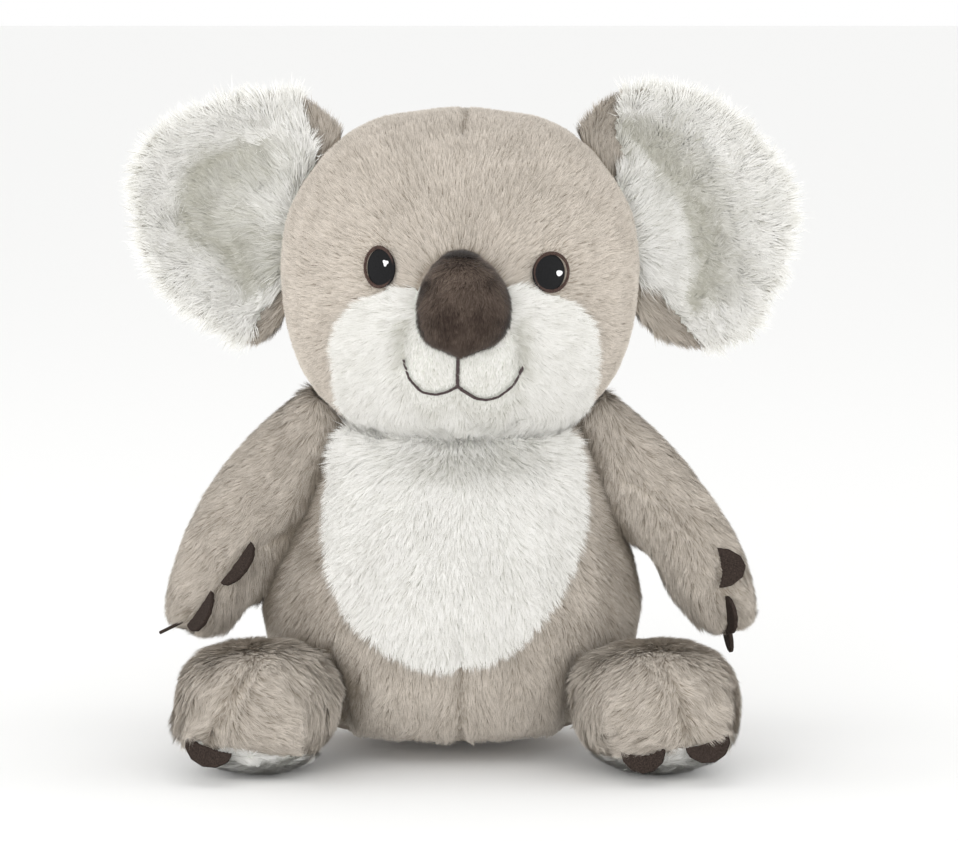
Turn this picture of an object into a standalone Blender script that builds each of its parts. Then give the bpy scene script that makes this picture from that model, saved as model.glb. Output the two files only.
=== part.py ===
"""Seated plush koala, as the sewn and stuffed pieces that it is made of.

Metres, +Z up. The koala faces -Y and sits on z = 0, with the middle of its seat at the origin.
Left and right are the koala's own sides, so its left is +X.
"""

import math

import bmesh
import bpy
from mathutils import Matrix, Vector
from mathutils.bvhtree import BVHTree

MM = 0.001

# Cloth and clearances
GAP = 0.3 * MM
PLUSH_WALL = 3.0 * MM
NOSE_WALL = 1.8 * MM
FLAT_DEPTH = 0.5 * MM
OVERRUN = 40 * MM

# Body
BODY_WIDTH = 154 * MM
BODY_HEIGHT = 149 * MM
BODY_FRONT = 76 * MM
BODY_BACK = 68 * MM
NECK_OPENING_DROP = 28 * MM
BODY_TOP = BODY_HEIGHT - NECK_OPENING_DROP
BODY_WIDTH_SHARES = (1.8, 1.33, 1.13, 1.035, 0.94, 0.855, 0.86, 0.975, 1.6)
BODY_FRONT_SHARES = (1.75, 1.32, 1.13, 1.035, 0.975, 0.905, 0.885, 0.985, 1.6)
BODY_BACK_SHARES = (1.75, 1.32, 1.13, 1.02, 0.95, 0.9, 0.92, 1.1, 1.7)

# Belly panel
BELLY_WIDTH = 104 * MM
BELLY_DROP = 22 * MM
BELLY_WIDEST_Z = BODY_TOP - BELLY_DROP
BELLY_BELOW = 57 * MM
BELLY_ABOVE = 60 * MM

# Pellet bag in the seat
PELLET_BAG_WIDTH = 84 * MM
PELLET_BAG_DEPTH = 74 * MM
PELLET_BAG_HEIGHT = 26 * MM
PELLET_BAG_FLOOR = 8 * MM

# Neck
NECK_RADIUS = 48 * MM
NECK_SINK = 3 * MM
NECK_Z = BODY_TOP - NECK_SINK
NECK_CLEARANCE = 0.7 * MM

# Head
HEAD_WIDTH = 146 * MM
HEAD_HEIGHT = 138 * MM
HEAD_FRONT = 62 * MM
HEAD_BACK = 62 * MM
HEAD_Y = -8 * MM
HEAD_SINK = 0.5 * MM
HEAD_Z = BODY_TOP + HEAD_HEIGHT / 2 - HEAD_SINK
HEAD_WIDTH_SHARES = (1.25, 1.13, 1.05, 1.01, 1.0, 1.02, 1.05, 1.04, 1.0)
HEAD_FRONT_SHARES = (1.2, 1.1, 1.05, 1.03, 1.0, 1.0, 1.02, 1.03, 1.0)
HEAD_BACK_SHARES = (1.1, 1.02, 1.0, 1.0, 1.0, 1.02, 1.05, 1.04, 1.0)
MUZZLE_DROP = 34.5 * MM
MUZZLE_Z = HEAD_Z - MUZZLE_DROP
MUZZLE_SPREAD = 23 * MM
MUZZLE_DEPTH = 9 * MM
MUZZLE_EASE = 31 * MM

# Face panel
FACE_WIDTH = 102 * MM
FACE_DROP = 28.5 * MM
FACE_WIDEST_Z = HEAD_Z - FACE_DROP
FACE_ABOVE = 29 * MM
FACE_BELOW = 62 * MM
FACE_SQUARENESS = 2.7

# Nose
NOSE_WIDTH = 37.5 * MM
NOSE_HEIGHT = 42.5 * MM
NOSE_DEPTH = 34 * MM
NOSE_DROP = 6 * MM
NOSE_Z = HEAD_Z - NOSE_DROP
NOSE_WIDTH_SHARES = (0.5, 0.93, 0.99, 1.0, 1.0, 1.02, 1.06, 1.1, 1.15)
NOSE_DEPTH_SHARES = (0.9, 0.95, 0.98, 1.0, 1.0, 1.02, 1.04, 1.05, 1.05)

# Eyes and mouth, embroidered
EYE_X = 33.5 * MM
EYE_RISE = 6.5 * MM
EYE_Z = HEAD_Z + EYE_RISE
EYE_WIDTH = 10.8 * MM
EYE_HEIGHT = 13.8 * MM
EYE_THICK = 1.0 * MM
RING_WIDTH = 1.3 * MM
RING_THICK = 1.4 * MM
GLINT_WIDTH = 3.6 * MM
GLINT_X = 2.4 * MM
GLINT_Z = 2.2 * MM
GLINT_THICK = 0.5 * MM
MOUTH_WIDTH = 44 * MM
MOUTH_DROP = 38 * MM
MOUTH_Z = HEAD_Z - MOUTH_DROP
MOUTH_TOP_DROP = 25 * MM
MOUTH_TOP = HEAD_Z - MOUTH_TOP_DROP
MOUTH_DIP = 21.5 * MM
MOUTH_RISE = 25.7 * MM
STITCH_WIDTH = 1.6 * MM
STITCH_THICK = 1.2 * MM

# Ears
EAR_WIDTH = 88 * MM
EAR_HEIGHT = 107 * MM
EAR_X = 90 * MM
EAR_Y = 10 * MM
EAR_RISE = 23.5 * MM
EAR_Z = HEAD_Z + EAR_RISE
EAR_TILT = math.radians(14)
EAR_DISH = 11 * MM
EAR_FRONT_THICK = 9 * MM
EAR_BACK_THICK = 8 * MM
EAR_WADDING_THICK = 4 * MM
EAR_WADDING_SHARE = 0.84
EAR_WADDING_EASE = 0.75
EAR_RIM_THICK = 2.5 * MM
EAR_MIDDLE_SHARE = 0.55
EAR_PUFF_SHARE = 0.75
EAR_HINGE_X = 66 * MM
EAR_HINGE_Y = -4 * MM
EAR_HINGE_RISE = 22.5 * MM
EAR_HINGE_Z = HEAD_Z + EAR_HINGE_RISE

# Arms
ARM_LENGTH = 112 * MM
ARM_THICK = 37 * MM
ARM_WIDTH = 43 * MM
ARM_FORWARD = 15 * MM
ARM_SLOPE = math.radians(22.5)
SHOULDER_X = 44.5 * MM
SHOULDER_Y = -2 * MM
SHOULDER_RISE = 17.5 * MM
SHOULDER_Z = BODY_TOP + SHOULDER_RISE
ARM_CLEARANCE = 1.2 * MM
ARM_HEAD_CLEARANCE = 6.5 * MM
ARM_THICK_SHARES = (1.95, 1.36, 1.14, 1.03, 0.96, 0.92, 0.9, 0.95, 1.3)
ARM_WIDTH_SHARES = (1.8, 1.3, 1.1, 1.0, 0.95, 0.94, 0.96, 1.05, 1.3)
ARM_MIDDLE_SHARES = (1.0, 1.0, 1.02, 1.0, 0.93, 0.82, 0.66, 0.46, 0.3)
ARM_FORWARD_SHARES = (1.0, 0.95, 0.87, 0.75, 0.6, 0.43, 0.27, 0.12, 0.0)

# The seam where an arm's skin opens on the flank
SHOULDER_SEAM_LOW = 14 * MM
SHOULDER_SEAM_HIGH = 42 * MM
SHOULDER_SEAM_WIDTH = 21 * MM
SHOULDER_SEAM_Y = -4 * MM
SHOULDER_SEAM_DEPTH = 8 * MM

# Legs
LEG_LENGTH = 84 * MM
LEG_WIDTH = 68 * MM
LEG_HEIGHT = 55 * MM
LEG_X = 76 * MM
LEG_Y = -70 * MM
LEG_SPLAY = math.radians(8)
LEG_SQUARENESS = 2.3
LEG_WIDTH_SHARES = (1.5, 1.18, 1.05, 1.0, 1.0, 1.0, 0.98, 0.98, 1.2)
LEG_TOP_SHARES = (1.5, 1.2, 1.08, 1.03, 1.0, 0.95, 0.9, 0.92, 1.1)
LEG_SOLE_SHARES = (1.1, 1.1, 1.06, 1.02, 1.0, 0.97, 0.94, 0.94, 1.0)
HIP_Y = -46 * MM
HIP_Z = 48 * MM
SOLE_Z = 14.5 * MM
SOLE_ROLL = math.radians(10)

# Felt claws
CLAW_WIDTH = 17 * MM
PAW_CLAW_REACH = 11.5 * MM
SOLE_CLAW_REACH = 9 * MM
CLAW_THICK = 1.8 * MM
CLAW_SINK = 1.2 * MM

# Each paw claw: its turn round the arm, its share of the half-length up from the arm's middle,
# the turn of the way it lies from straight down the arm, and how far it lies over.
# Turns and leans are in degrees.
RIGHT_PAW_SHARES = (
    (-92, -0.28, -75, 24),
    (-76, -0.72, -75, 30),
    (-12, -0.90, 0, 15),
)
LEFT_PAW_SHARES = (
    (-62, -0.44, 67, 66),
    (-66, -0.81, 80, 12),
    (-90, -0.985, 90, 4),
)

# Each sole claw: its turn from the toe outwards round the sole's seam, in degrees.
LEFT_SOLE_SHARES = (-17, 22, 52)
RIGHT_SOLE_SHARES = (24, 56, 88)
SOLE_CLAW_LEAN = math.radians(48)

# Mesh counts
BODY_SEGMENTS = 24
BODY_RINGS = 16
LIMB_SEGMENTS = 18
LIMB_RINGS = 12
NECK_SEGMENTS = 28
NECK_RINGS = 14
EAR_SEGMENTS = 18
EAR_RINGS = 10
SMALL_SEGMENTS = 12
SMALL_RINGS = 8
OUTLINE_POINTS = 24
EYE_POINTS = 16
CLAW_POINTS = 12
MOUTH_STEPS = 6

SIDES = {"left": 1, "right": -1}


def clear_scene():
    for item in list(bpy.data.objects):
        bpy.data.objects.remove(item)


def collection(name, hidden=False):
    made = bpy.data.collections.new(name)
    bpy.context.scene.collection.children.link(made)
    made.hide_render = hidden
    return made


def material(name, colour, roughness):
    """Colour is sRGB, 0 to 1."""
    made = bpy.data.materials.new(name)
    made.use_nodes = True
    shader = made.node_tree.nodes["Principled BSDF"]
    linear = [c / 12.92 if c <= 0.04045 else ((c + 0.055) / 1.055) ** 2.4 for c in colour]
    shader.inputs["Base Color"].default_value = (*linear, 1)
    shader.inputs["Roughness"].default_value = roughness
    shader.inputs["Metallic"].default_value = 0
    return made


def along(shares, t):
    """The smooth curve through evenly spaced shares, at t from 0 to 1."""
    place = min(max(t, 0.0), 1.0) * (len(shares) - 1)
    i = min(int(place), len(shares) - 2)
    f = place - i
    a = shares[max(i - 1, 0)]
    b, c = shares[i], shares[i + 1]
    d = shares[min(i + 2, len(shares) - 1)]
    bend = (2 * a - 5 * b + 4 * c - d) * f**2 + (3 * b - a - 3 * c + d) * f**3
    return 0.5 * (2 * b + (c - a) * f + bend)


def squared(x, y, squareness):
    """A point of the unit disc, moved out towards a rounded square."""
    length = math.hypot(x, y)
    if length < 1e-9:
        return x, y
    power = (abs(x) / length) ** squareness + (abs(y) / length) ** squareness
    grown = power ** (-1 / squareness)
    return x * grown, y * grown


class Form:
    """A stuffed form: a sphere that swells and tapers along its long axis, local Z."""

    def __init__(self, place, half_width, front, back, half_length, **more):
        even = (1.0,) * 9
        self.place = place
        self.half = (half_width, front, back, half_length)
        self.width_shares = more.get("width_shares", even)
        self.front_shares = more.get("front_shares", even)
        self.back_shares = more.get("back_shares", even)
        self.shift = more.get("shift", lambda t: (0.0, 0.0))
        self.squareness = more.get("squareness", 2.0)
        self.bulge = more.get("bulge", lambda x, y, z: y)

    def local(self, x, y, z):
        """The form's point that a point of the unit sphere goes to."""
        half_width, front, back, half_length = self.half
        t = (z + 1) / 2
        x, y = squared(x, y, self.squareness)
        deep = front * along(self.front_shares, t) if y < 0 else back * along(self.back_shares, t)
        moved_x, moved_y = self.shift(t)
        at = Vector((x * half_width * along(self.width_shares, t), y * deep, z * half_length))
        at.y = self.bulge(at.x, at.y, at.z)
        return at + Vector((moved_x, moved_y, 0))


def moved_sphere(form, grow, segments, rings):
    """A bmesh of the form, grown along its normals, or shrunk if grow is negative."""
    bm = bmesh.new()
    bmesh.ops.create_uvsphere(bm, u_segments=segments, v_segments=rings, radius=1)
    bmesh.ops.triangulate(bm, faces=bm.faces, quad_method="FIXED")
    for vertex in bm.verts:
        vertex.co = form.place @ form.local(*vertex.co)
    bm.normal_update()
    if grow:
        normals = [vertex.normal.copy() for vertex in bm.verts]
        for vertex, normal in zip(bm.verts, normals):
            vertex.co += normal * grow
    return bm


def mirrored(bm, side):
    if side < 0:
        bmesh.ops.scale(bm, vec=(-1, 1, 1), verts=bm.verts)
        bmesh.ops.reverse_faces(bm, faces=bm.faces)
    return bm


def add(name, bm, where, paint=None, parent=None):
    mesh = bpy.data.meshes.new(name)
    bm.normal_update()
    bm.to_mesh(mesh)
    bm.free()
    item = bpy.data.objects.new(name, mesh)
    where.objects.link(item)
    if paint is None:
        item.hide_render = True
        item.display_type = "WIRE"
    else:
        mesh.materials.append(paint)
        mesh.shade_smooth()
    if parent is not None:
        item.parent = parent
        item.matrix_parent_inverse = Matrix.Translation(-parent.location)
    return item


def joint_empty(name, place, where, parent=None):
    """An empty on a joint's axis, which carries what moves about it."""
    item = bpy.data.objects.new(name, None)
    item.empty_display_size = GAP
    item.location = place
    where.objects.link(item)
    if parent is not None:
        item.parent = parent
        item.matrix_parent_inverse = Matrix.Translation(-parent.location)
    return item


def cut(piece, *cutters, keep=False):
    """Takes the cutters away from the piece, or keeps only what lies inside them."""
    for cutter in cutters:
        boolean = piece.modifiers.new(cutter.name, "BOOLEAN")
        boolean.operation = "INTERSECT" if keep else "DIFFERENCE"
        boolean.solver = "EXACT"
        boolean.object = cutter


def block(low, high):
    bm = bmesh.new()
    bmesh.ops.create_cube(bm, size=1)
    for vertex in bm.verts:
        for axis in range(3):
            vertex.co[axis] = low[axis] if vertex.co[axis] < 0 else high[axis]
    return bm


def prism(points, near, far):
    """A flat outline of (x, z) points, run from y = near back to y = far."""
    bm = bmesh.new()
    ring = [bm.verts.new((x, near, z)) for x, z in points]
    face = bm.faces.new(ring)
    run = bmesh.ops.extrude_face_region(bm, geom=[face])
    moved = [item for item in run["geom"] if isinstance(item, bmesh.types.BMVert)]
    bmesh.ops.translate(bm, verts=moved, vec=(0, far - near, 0))
    bmesh.ops.recalc_face_normals(bm, faces=bm.faces)
    return bm


def egg(half_width, above, below, middle, squareness=2.0, count=OUTLINE_POINTS, x=0.0):
    """Outline points round an oval whose upper and lower halves have their own heights."""
    points = []
    for i in range(count):
        turn = 2 * math.pi * i / count
        across, up = squared(math.cos(turn), math.sin(turn), squareness)
        points.append((x + across * half_width, middle + up * (above if up > 0 else below)))
    return points


def body_form():
    centre_z = BODY_HEIGHT / 2 - FLAT_DEPTH
    return Form(
        Matrix.Translation((0, 0, centre_z)),
        BODY_WIDTH / 2,
        BODY_FRONT,
        BODY_BACK,
        BODY_HEIGHT / 2,
        width_shares=BODY_WIDTH_SHARES,
        front_shares=BODY_FRONT_SHARES,
        back_shares=BODY_BACK_SHARES,
    )


def muzzle(x, y, z):
    """The head's front, pushed out round the mouth."""
    if y > 0:
        return y
    off = (x**2 + (z + HEAD_Z - MUZZLE_Z) ** 2) / (2 * MUZZLE_SPREAD**2)
    return y - MUZZLE_DEPTH * math.exp(-off) * min(1.0, -y / MUZZLE_EASE)


def head_form():
    return Form(
        Matrix.Translation((0, HEAD_Y, HEAD_Z)),
        HEAD_WIDTH / 2,
        HEAD_FRONT,
        HEAD_BACK,
        HEAD_HEIGHT / 2,
        width_shares=HEAD_WIDTH_SHARES,
        front_shares=HEAD_FRONT_SHARES,
        back_shares=HEAD_BACK_SHARES,
        bulge=muzzle,
    )


def ball_form(radius, z):
    return Form(Matrix.Translation((0, 0, z)), radius, radius, radius, radius)


def face_front(z):
    """How far forward the head's skin comes on its middle line at this height."""
    height = (z - HEAD_Z) / (HEAD_HEIGHT / 2)
    return HEAD_Y + head_form().local(0, -math.sqrt(1 - height**2), height).y


def nose_form():
    return Form(
        Matrix.Translation((0, face_front(NOSE_Z), NOSE_Z)),
        NOSE_WIDTH / 2,
        NOSE_DEPTH / 2,
        NOSE_DEPTH / 2,
        NOSE_HEIGHT / 2,
        width_shares=NOSE_WIDTH_SHARES,
        front_shares=NOSE_DEPTH_SHARES,
        back_shares=NOSE_DEPTH_SHARES,
    )


def arm_place():
    """The left arm's frame: local Z points up the arm, local X out from the flank."""
    down = Vector((math.sin(ARM_SLOPE), 0, -math.cos(ARM_SLOPE)))
    out = Vector((math.cos(ARM_SLOPE), 0, math.sin(ARM_SLOPE)))
    middle = Vector((SHOULDER_X, SHOULDER_Y, SHOULDER_Z)) + down * (ARM_LENGTH / 2)
    turn = Matrix((out, Vector((0, 1, 0)), -down)).transposed().to_4x4()
    return Matrix.Translation(middle) @ turn


def arm_form():
    def shift(t):
        """The middle line lies half the thickness out from the flank, and comes forward to the paw."""
        out = ARM_CLEARANCE + ARM_THICK / 2 * along(ARM_MIDDLE_SHARES, t)
        return out, -ARM_FORWARD * along(ARM_FORWARD_SHARES, t)

    return Form(
        arm_place(),
        ARM_THICK / 2,
        ARM_WIDTH / 2,
        ARM_WIDTH / 2,
        ARM_LENGTH / 2,
        width_shares=ARM_THICK_SHARES,
        front_shares=ARM_WIDTH_SHARES,
        back_shares=ARM_WIDTH_SHARES,
        shift=shift,
    )


def leg_form():
    """The left leg: local Z points from the toe back to the hip, and local Y down."""
    toe = Vector((math.sin(LEG_SPLAY), -math.cos(LEG_SPLAY), 0))
    out = Vector((math.cos(LEG_SPLAY), math.sin(LEG_SPLAY), 0))
    turn = Matrix((out, Vector((0, 0, -1)), -toe)).transposed().to_4x4()
    centre_z = LEG_HEIGHT / 2 - FLAT_DEPTH
    return Form(
        Matrix.Translation((LEG_X, LEG_Y, centre_z)) @ turn,
        LEG_WIDTH / 2,
        LEG_HEIGHT / 2,
        LEG_HEIGHT / 2,
        LEG_LENGTH / 2,
        width_shares=LEG_WIDTH_SHARES,
        front_shares=LEG_TOP_SHARES,
        back_shares=LEG_SOLE_SHARES,
        squareness=LEG_SQUARENESS,
    )


def ear_layer(low, high, reach, side):
    """One layer of an ear: a dished oval whose faces lie at low(r) and high(r) in front of its mid-surface."""
    bm = bmesh.new()
    bmesh.ops.create_uvsphere(bm, u_segments=EAR_SEGMENTS, v_segments=EAR_RINGS, radius=1)
    bmesh.ops.triangulate(bm, faces=bm.faces, quad_method="FIXED")
    tilt = Matrix.Rotation(-EAR_TILT, 4, "Y")
    for vertex in bm.verts:
        u, v, facing = vertex.co
        r = math.hypot(u, v)
        front, back = high(r), low(r)
        depth = back + (front - back) * (facing + 1) / 2
        if abs(facing) > 1e-6:
            depth = front if facing > 0 else back
        dish = EAR_DISH * (r * reach) ** 2
        at = Vector((u * EAR_WIDTH / 2 * reach, -(dish + depth), v * EAR_HEIGHT / 2 * reach))
        vertex.co = Vector((EAR_X, EAR_Y, EAR_Z)) + tilt @ at
    bmesh.ops.recalc_face_normals(bm, faces=bm.faces)
    return mirrored(bm, side)


def dome(r):
    return math.sqrt(max(1 - r**2, 0.0))


def add_body(nodes, cutters, paints, root):
    body = body_form()
    neck = ball_form(NECK_RADIUS, NECK_Z)
    reach = BODY_WIDTH
    tools = {
        "outer": add("body_outer_cutter", moved_sphere(body, GAP, BODY_SEGMENTS, BODY_RINGS), cutters),
        "inner": add("body_inner_cutter", moved_sphere(body, -PLUSH_WALL, SMALL_SEGMENTS, SMALL_RINGS), cutters),
        "neck": add("neck_cutter", moved_sphere(neck, NECK_CLEARANCE, NECK_SEGMENTS, NECK_RINGS), cutters),
        "above": add(
            "body_top_cutter",
            block((-reach, -reach, BODY_TOP), (reach, reach, BODY_TOP + BODY_HEIGHT)),
            cutters,
        ),
        "ground": add("ground_cutter", block((-reach, -reach, -OVERRUN), (reach, reach, 0)), cutters),
    }
    outline = egg(BELLY_WIDTH / 2, BELLY_ABOVE, BELLY_BELOW, BELLY_WIDEST_Z)
    wide = egg(BELLY_WIDTH / 2 + GAP, BELLY_ABOVE + GAP, BELLY_BELOW + GAP, BELLY_WIDEST_Z)
    front = -BODY_FRONT - OVERRUN
    inside = add("belly_outline", prism(outline, front, 0), cutters)
    outside = add("belly_opening", prism(wide, front, 0), cutters)

    skin = add("body_skin", moved_sphere(body, 0, BODY_SEGMENTS, BODY_RINGS), nodes, paints["greige"], root)
    cut(skin, tools["ground"], tools["inner"], tools["above"], tools["neck"], outside)
    belly = add("belly_panel", moved_sphere(body, 0, BODY_SEGMENTS, BODY_RINGS), nodes, paints["white"], root)
    cut(belly, tools["inner"], tools["above"], tools["neck"])
    cut(belly, inside, keep=True)

    middle_z = PELLET_BAG_FLOOR + PELLET_BAG_HEIGHT / 2
    half_depth = PELLET_BAG_DEPTH / 2
    bag = Form(
        Matrix.Translation((0, 0, middle_z)), PELLET_BAG_WIDTH / 2, half_depth, half_depth, PELLET_BAG_HEIGHT / 2
    )
    bag_space = add("pellet_bag_cutter", moved_sphere(bag, GAP, SMALL_SEGMENTS, SMALL_RINGS), cutters)
    add("seat_pellet_bag", moved_sphere(bag, 0, SMALL_SEGMENTS, SMALL_RINGS), nodes, paints["lining"], root)
    channel = add(
        "pellet_bag_channel",
        prism([(-GAP, 0), (GAP, 0), (GAP, middle_z), (-GAP, middle_z)], -BODY_FRONT, BODY_BACK),
        cutters,
    )
    filling = moved_sphere(body, -PLUSH_WALL - GAP, SMALL_SEGMENTS, SMALL_RINGS)
    filling = add("body_filling", filling, nodes, paints["stuffing"], root)
    cut(filling, tools["above"], tools["neck"], bag_space, channel)
    return tools


def add_neck(nodes, paints, neck_turn):
    neck = ball_form(NECK_RADIUS, NECK_Z)
    bm = moved_sphere(neck, 0, NECK_SEGMENTS, NECK_RINGS)
    add("neck_filling", bm, nodes, paints["greige"], neck_turn)


def add_head(nodes, cutters, paints, neck_cutter, neck_nod):
    head = head_form()
    outer = add("head_outer_cutter", moved_sphere(head, GAP, BODY_SEGMENTS, BODY_RINGS), cutters)
    inner = add("head_inner_cutter", moved_sphere(head, -PLUSH_WALL, SMALL_SEGMENTS, SMALL_RINGS), cutters)
    outline = egg(FACE_WIDTH / 2, FACE_ABOVE, FACE_BELOW, FACE_WIDEST_Z, FACE_SQUARENESS)
    wide = egg(FACE_WIDTH / 2 + GAP, FACE_ABOVE + GAP, FACE_BELOW + GAP, FACE_WIDEST_Z, FACE_SQUARENESS)
    front = HEAD_Y - HEAD_FRONT - OVERRUN
    inside = add("face_outline", prism(outline, front, HEAD_Y), cutters)
    outside = add("face_opening", prism(wide, front, HEAD_Y), cutters)
    skin = add("head_skin", moved_sphere(head, 0, BODY_SEGMENTS, BODY_RINGS), nodes, paints["greige"], neck_nod)
    cut(skin, inner, neck_cutter, outside)
    face = add("face_panel", moved_sphere(head, 0, BODY_SEGMENTS, BODY_RINGS), nodes, paints["white"], neck_nod)
    cut(face, inner, neck_cutter)
    cut(face, inside, keep=True)
    filling = moved_sphere(head, -PLUSH_WALL - GAP, SMALL_SEGMENTS, SMALL_RINGS)
    filling = add("head_filling", filling, nodes, paints["stuffing"], neck_nod)
    cut(filling, neck_cutter)
    return head, outer


def add_nose(nodes, cutters, paints, head_outer, neck_nod):
    nose = nose_form()
    hollow = add("nose_inner_cutter", moved_sphere(nose, -NOSE_WALL, SMALL_SEGMENTS, SMALL_RINGS), cutters)
    cover = moved_sphere(nose, 0, LIMB_SEGMENTS, SMALL_RINGS)
    cover = add("nose_cover", cover, nodes, paints["nose"], neck_nod)
    cut(cover, hollow, head_outer)
    filling = moved_sphere(nose, -NOSE_WALL - GAP, SMALL_SEGMENTS, SMALL_RINGS)
    filling = add("nose_filling", filling, nodes, paints["stuffing"], neck_nod)
    cut(filling, head_outer)
    return add("nose_outer_cutter", moved_sphere(nose, GAP, LIMB_SEGMENTS, SMALL_RINGS), cutters)


def mouth_outline():
    """The upright line and the two arcs, as one outline of even width."""
    half, stroke = MOUTH_WIDTH / 2, STITCH_WIDTH / 2
    count = MOUTH_STEPS

    def height(x):
        out = abs(x) / half
        return MOUTH_Z - MOUTH_DIP * out + MOUTH_RISE * out**2

    def row(first, last, lift):
        xs = [first + (last - first) * i / count for i in range(count + 1)]
        return [(x, height(x) + lift) for x in xs]

    upright = [(stroke, MOUTH_TOP), (-stroke, MOUTH_TOP)]
    under = row(-half, half, -stroke)
    return under + row(half, stroke, stroke) + upright + row(-stroke, -half, stroke)


def add_stitching(name, outline, low, high, holders, paint, parent):
    """A flat piece that follows the head's skin, from low to high above it, inside an outline."""
    head, nodes, cutters = holders
    below = add(name + "_below", moved_sphere(head, low, BODY_SEGMENTS, BODY_RINGS), cutters)
    shape = add(name + "_shape", prism(outline, HEAD_Y - HEAD_FRONT - OVERRUN, HEAD_Y), cutters)
    piece = add(name, moved_sphere(head, high, BODY_SEGMENTS, BODY_RINGS), nodes, paint, parent)
    cut(piece, below)
    cut(piece, shape, keep=True)
    return piece


def add_eyes_and_mouth(nodes, cutters, paints, head, nose_outer, neck_nod):
    holders = (head, nodes, cutters)
    for side_name, side in SIDES.items():
        x = side * EYE_X
        wide, tall = EYE_WIDTH / 2, EYE_HEIGHT / 2
        disc = egg(wide, tall, tall, EYE_Z, count=EYE_POINTS, x=x)
        hole = egg(wide + GAP, tall + GAP, tall + GAP, EYE_Z, count=EYE_POINTS, x=x)
        out = RING_WIDTH + GAP
        ring = egg(wide + out, tall + out, tall + out, EYE_Z, count=EYE_POINTS, x=x)
        small = GLINT_WIDTH / 2
        glint = egg(small, small, small, EYE_Z + GLINT_Z, count=CLAW_POINTS, x=x + GLINT_X)
        top = GAP + EYE_THICK
        add_stitching("eye_" + side_name, disc, GAP, top, holders, paints["eye"], neck_nod)
        edge = add_stitching("eye_ring_" + side_name, ring, GAP, GAP + RING_THICK, holders, paints["ring"], neck_nod)
        front = HEAD_Y - HEAD_FRONT - OVERRUN
        cut(edge, add("eye_hole_" + side_name, prism(hole, front, HEAD_Y), cutters))
        glint_top = top + GAP + GLINT_THICK
        add_stitching("eye_glint_" + side_name, glint, top + GAP, glint_top, holders, paints["glint"], neck_nod)
    top = GAP + STITCH_THICK
    mouth = add_stitching("mouth_stitching", mouth_outline(), GAP, top, holders, paints["thread"], neck_nod)
    cut(mouth, nose_outer)


def add_ear(side_name, side, nodes, cutters, paints, head_outer, hinge):
    wad = EAR_WADDING_THICK / 2

    def middle(r):
        """Half the wadding's space at this share of the ear's radius."""
        return wad * dome(min(r / EAR_WADDING_SHARE, 1.0)) + GAP

    def front_high(r):
        puff = EAR_MIDDLE_SHARE + EAR_PUFF_SHARE * r**2
        return middle(r) + EAR_RIM_THICK / 2 + EAR_FRONT_THICK * dome(r) * puff

    def back_low(r):
        return -middle(r) - EAR_RIM_THICK / 2 - EAR_BACK_THICK * dome(r)

    def wad_high(r):
        return wad * dome(r) * EAR_WADDING_EASE + GAP / 2

    front = ear_layer(middle, front_high, 1.0, side)
    back = ear_layer(back_low, lambda r: -middle(r), 1.0, side)
    inside = ear_layer(lambda r: -wad_high(r), wad_high, EAR_WADDING_SHARE, side)
    for name, bm, paint in (
        ("ear_front_", front, "white"),
        ("ear_back_", back, "greige"),
        ("ear_wadding_", inside, "stuffing"),
    ):
        cut(add(name + side_name, bm, nodes, paints[paint], hinge), head_outer)


def claw_disc(at, normal, down, lay, lean, reach):
    """A felt oval half sunk in the skin, lying over towards lay from the way down, and so far out."""
    seam = down.cross(normal).normalized()
    seam.rotate(Matrix.Rotation(lay, 3, normal))
    over = normal.cross(seam)
    out = normal * math.cos(lean) + over * math.sin(lean)
    bm = bmesh.new()
    bmesh.ops.create_cone(bm, cap_ends=True, segments=CLAW_POINTS, radius1=1, radius2=1, depth=1)
    bmesh.ops.scale(bm, vec=(CLAW_WIDTH / 2, reach, CLAW_THICK), verts=bm.verts)
    turn_in = Matrix((seam, out, seam.cross(out))).transposed().to_4x4()
    place = Matrix.Translation(at - normal * CLAW_SINK) @ turn_in
    bmesh.ops.transform(bm, matrix=place, verts=bm.verts)
    return bm


def add_claws(name, side, form, rays, skin_cutter, nodes, paint, hinge):
    """Felt half-ovals that hang from a limb's seam, their roots cut to its skin."""
    skin = moved_sphere(form, 0, LIMB_SEGMENTS, LIMB_RINGS)
    tree = BVHTree.FromBMesh(skin)
    skin.free()
    for number, (origin, towards, *manner) in enumerate(rays, 1):
        at, normal = tree.ray_cast(origin, towards)[:2]
        disc = mirrored(claw_disc(at, normal, *manner), side)
        cut(add(f"{name}_{number}", disc, nodes, paint, hinge), skin_cutter)


def paw_rays(arm, table):
    """Where each claw of the left paw stands: a ray out from the arm's middle line."""
    turned = arm.place.to_3x3()
    rays = []
    for turn, height, lay, lean in table:
        moved_x, moved_y = arm.shift((height + 1) / 2)
        origin = arm.place @ Vector((moved_x, moved_y, height * ARM_LENGTH / 2))
        angle = math.radians(turn)
        towards = turned @ Vector((math.cos(angle), math.sin(angle), 0))
        down = turned @ Vector((0, 0, -1))
        rays.append((origin, towards, down, math.radians(lay), math.radians(lean), PAW_CLAW_REACH))
    return rays


def sole_rays(table):
    """Where each claw of the left foot stands: a ray out along the sole's seam."""
    origin = Vector((LEG_X, LEG_Y, SOLE_Z))
    roll = Matrix.Rotation(-SOLE_ROLL, 3, "Y")
    rays = []
    for turn in table:
        angle = LEG_SPLAY + math.radians(turn)
        towards = roll @ Vector((math.sin(angle), -math.cos(angle), 0))
        rays.append((origin, towards, Vector((0, 0, -1)), 0, SOLE_CLAW_LEAN, SOLE_CLAW_REACH))
    return rays


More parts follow.
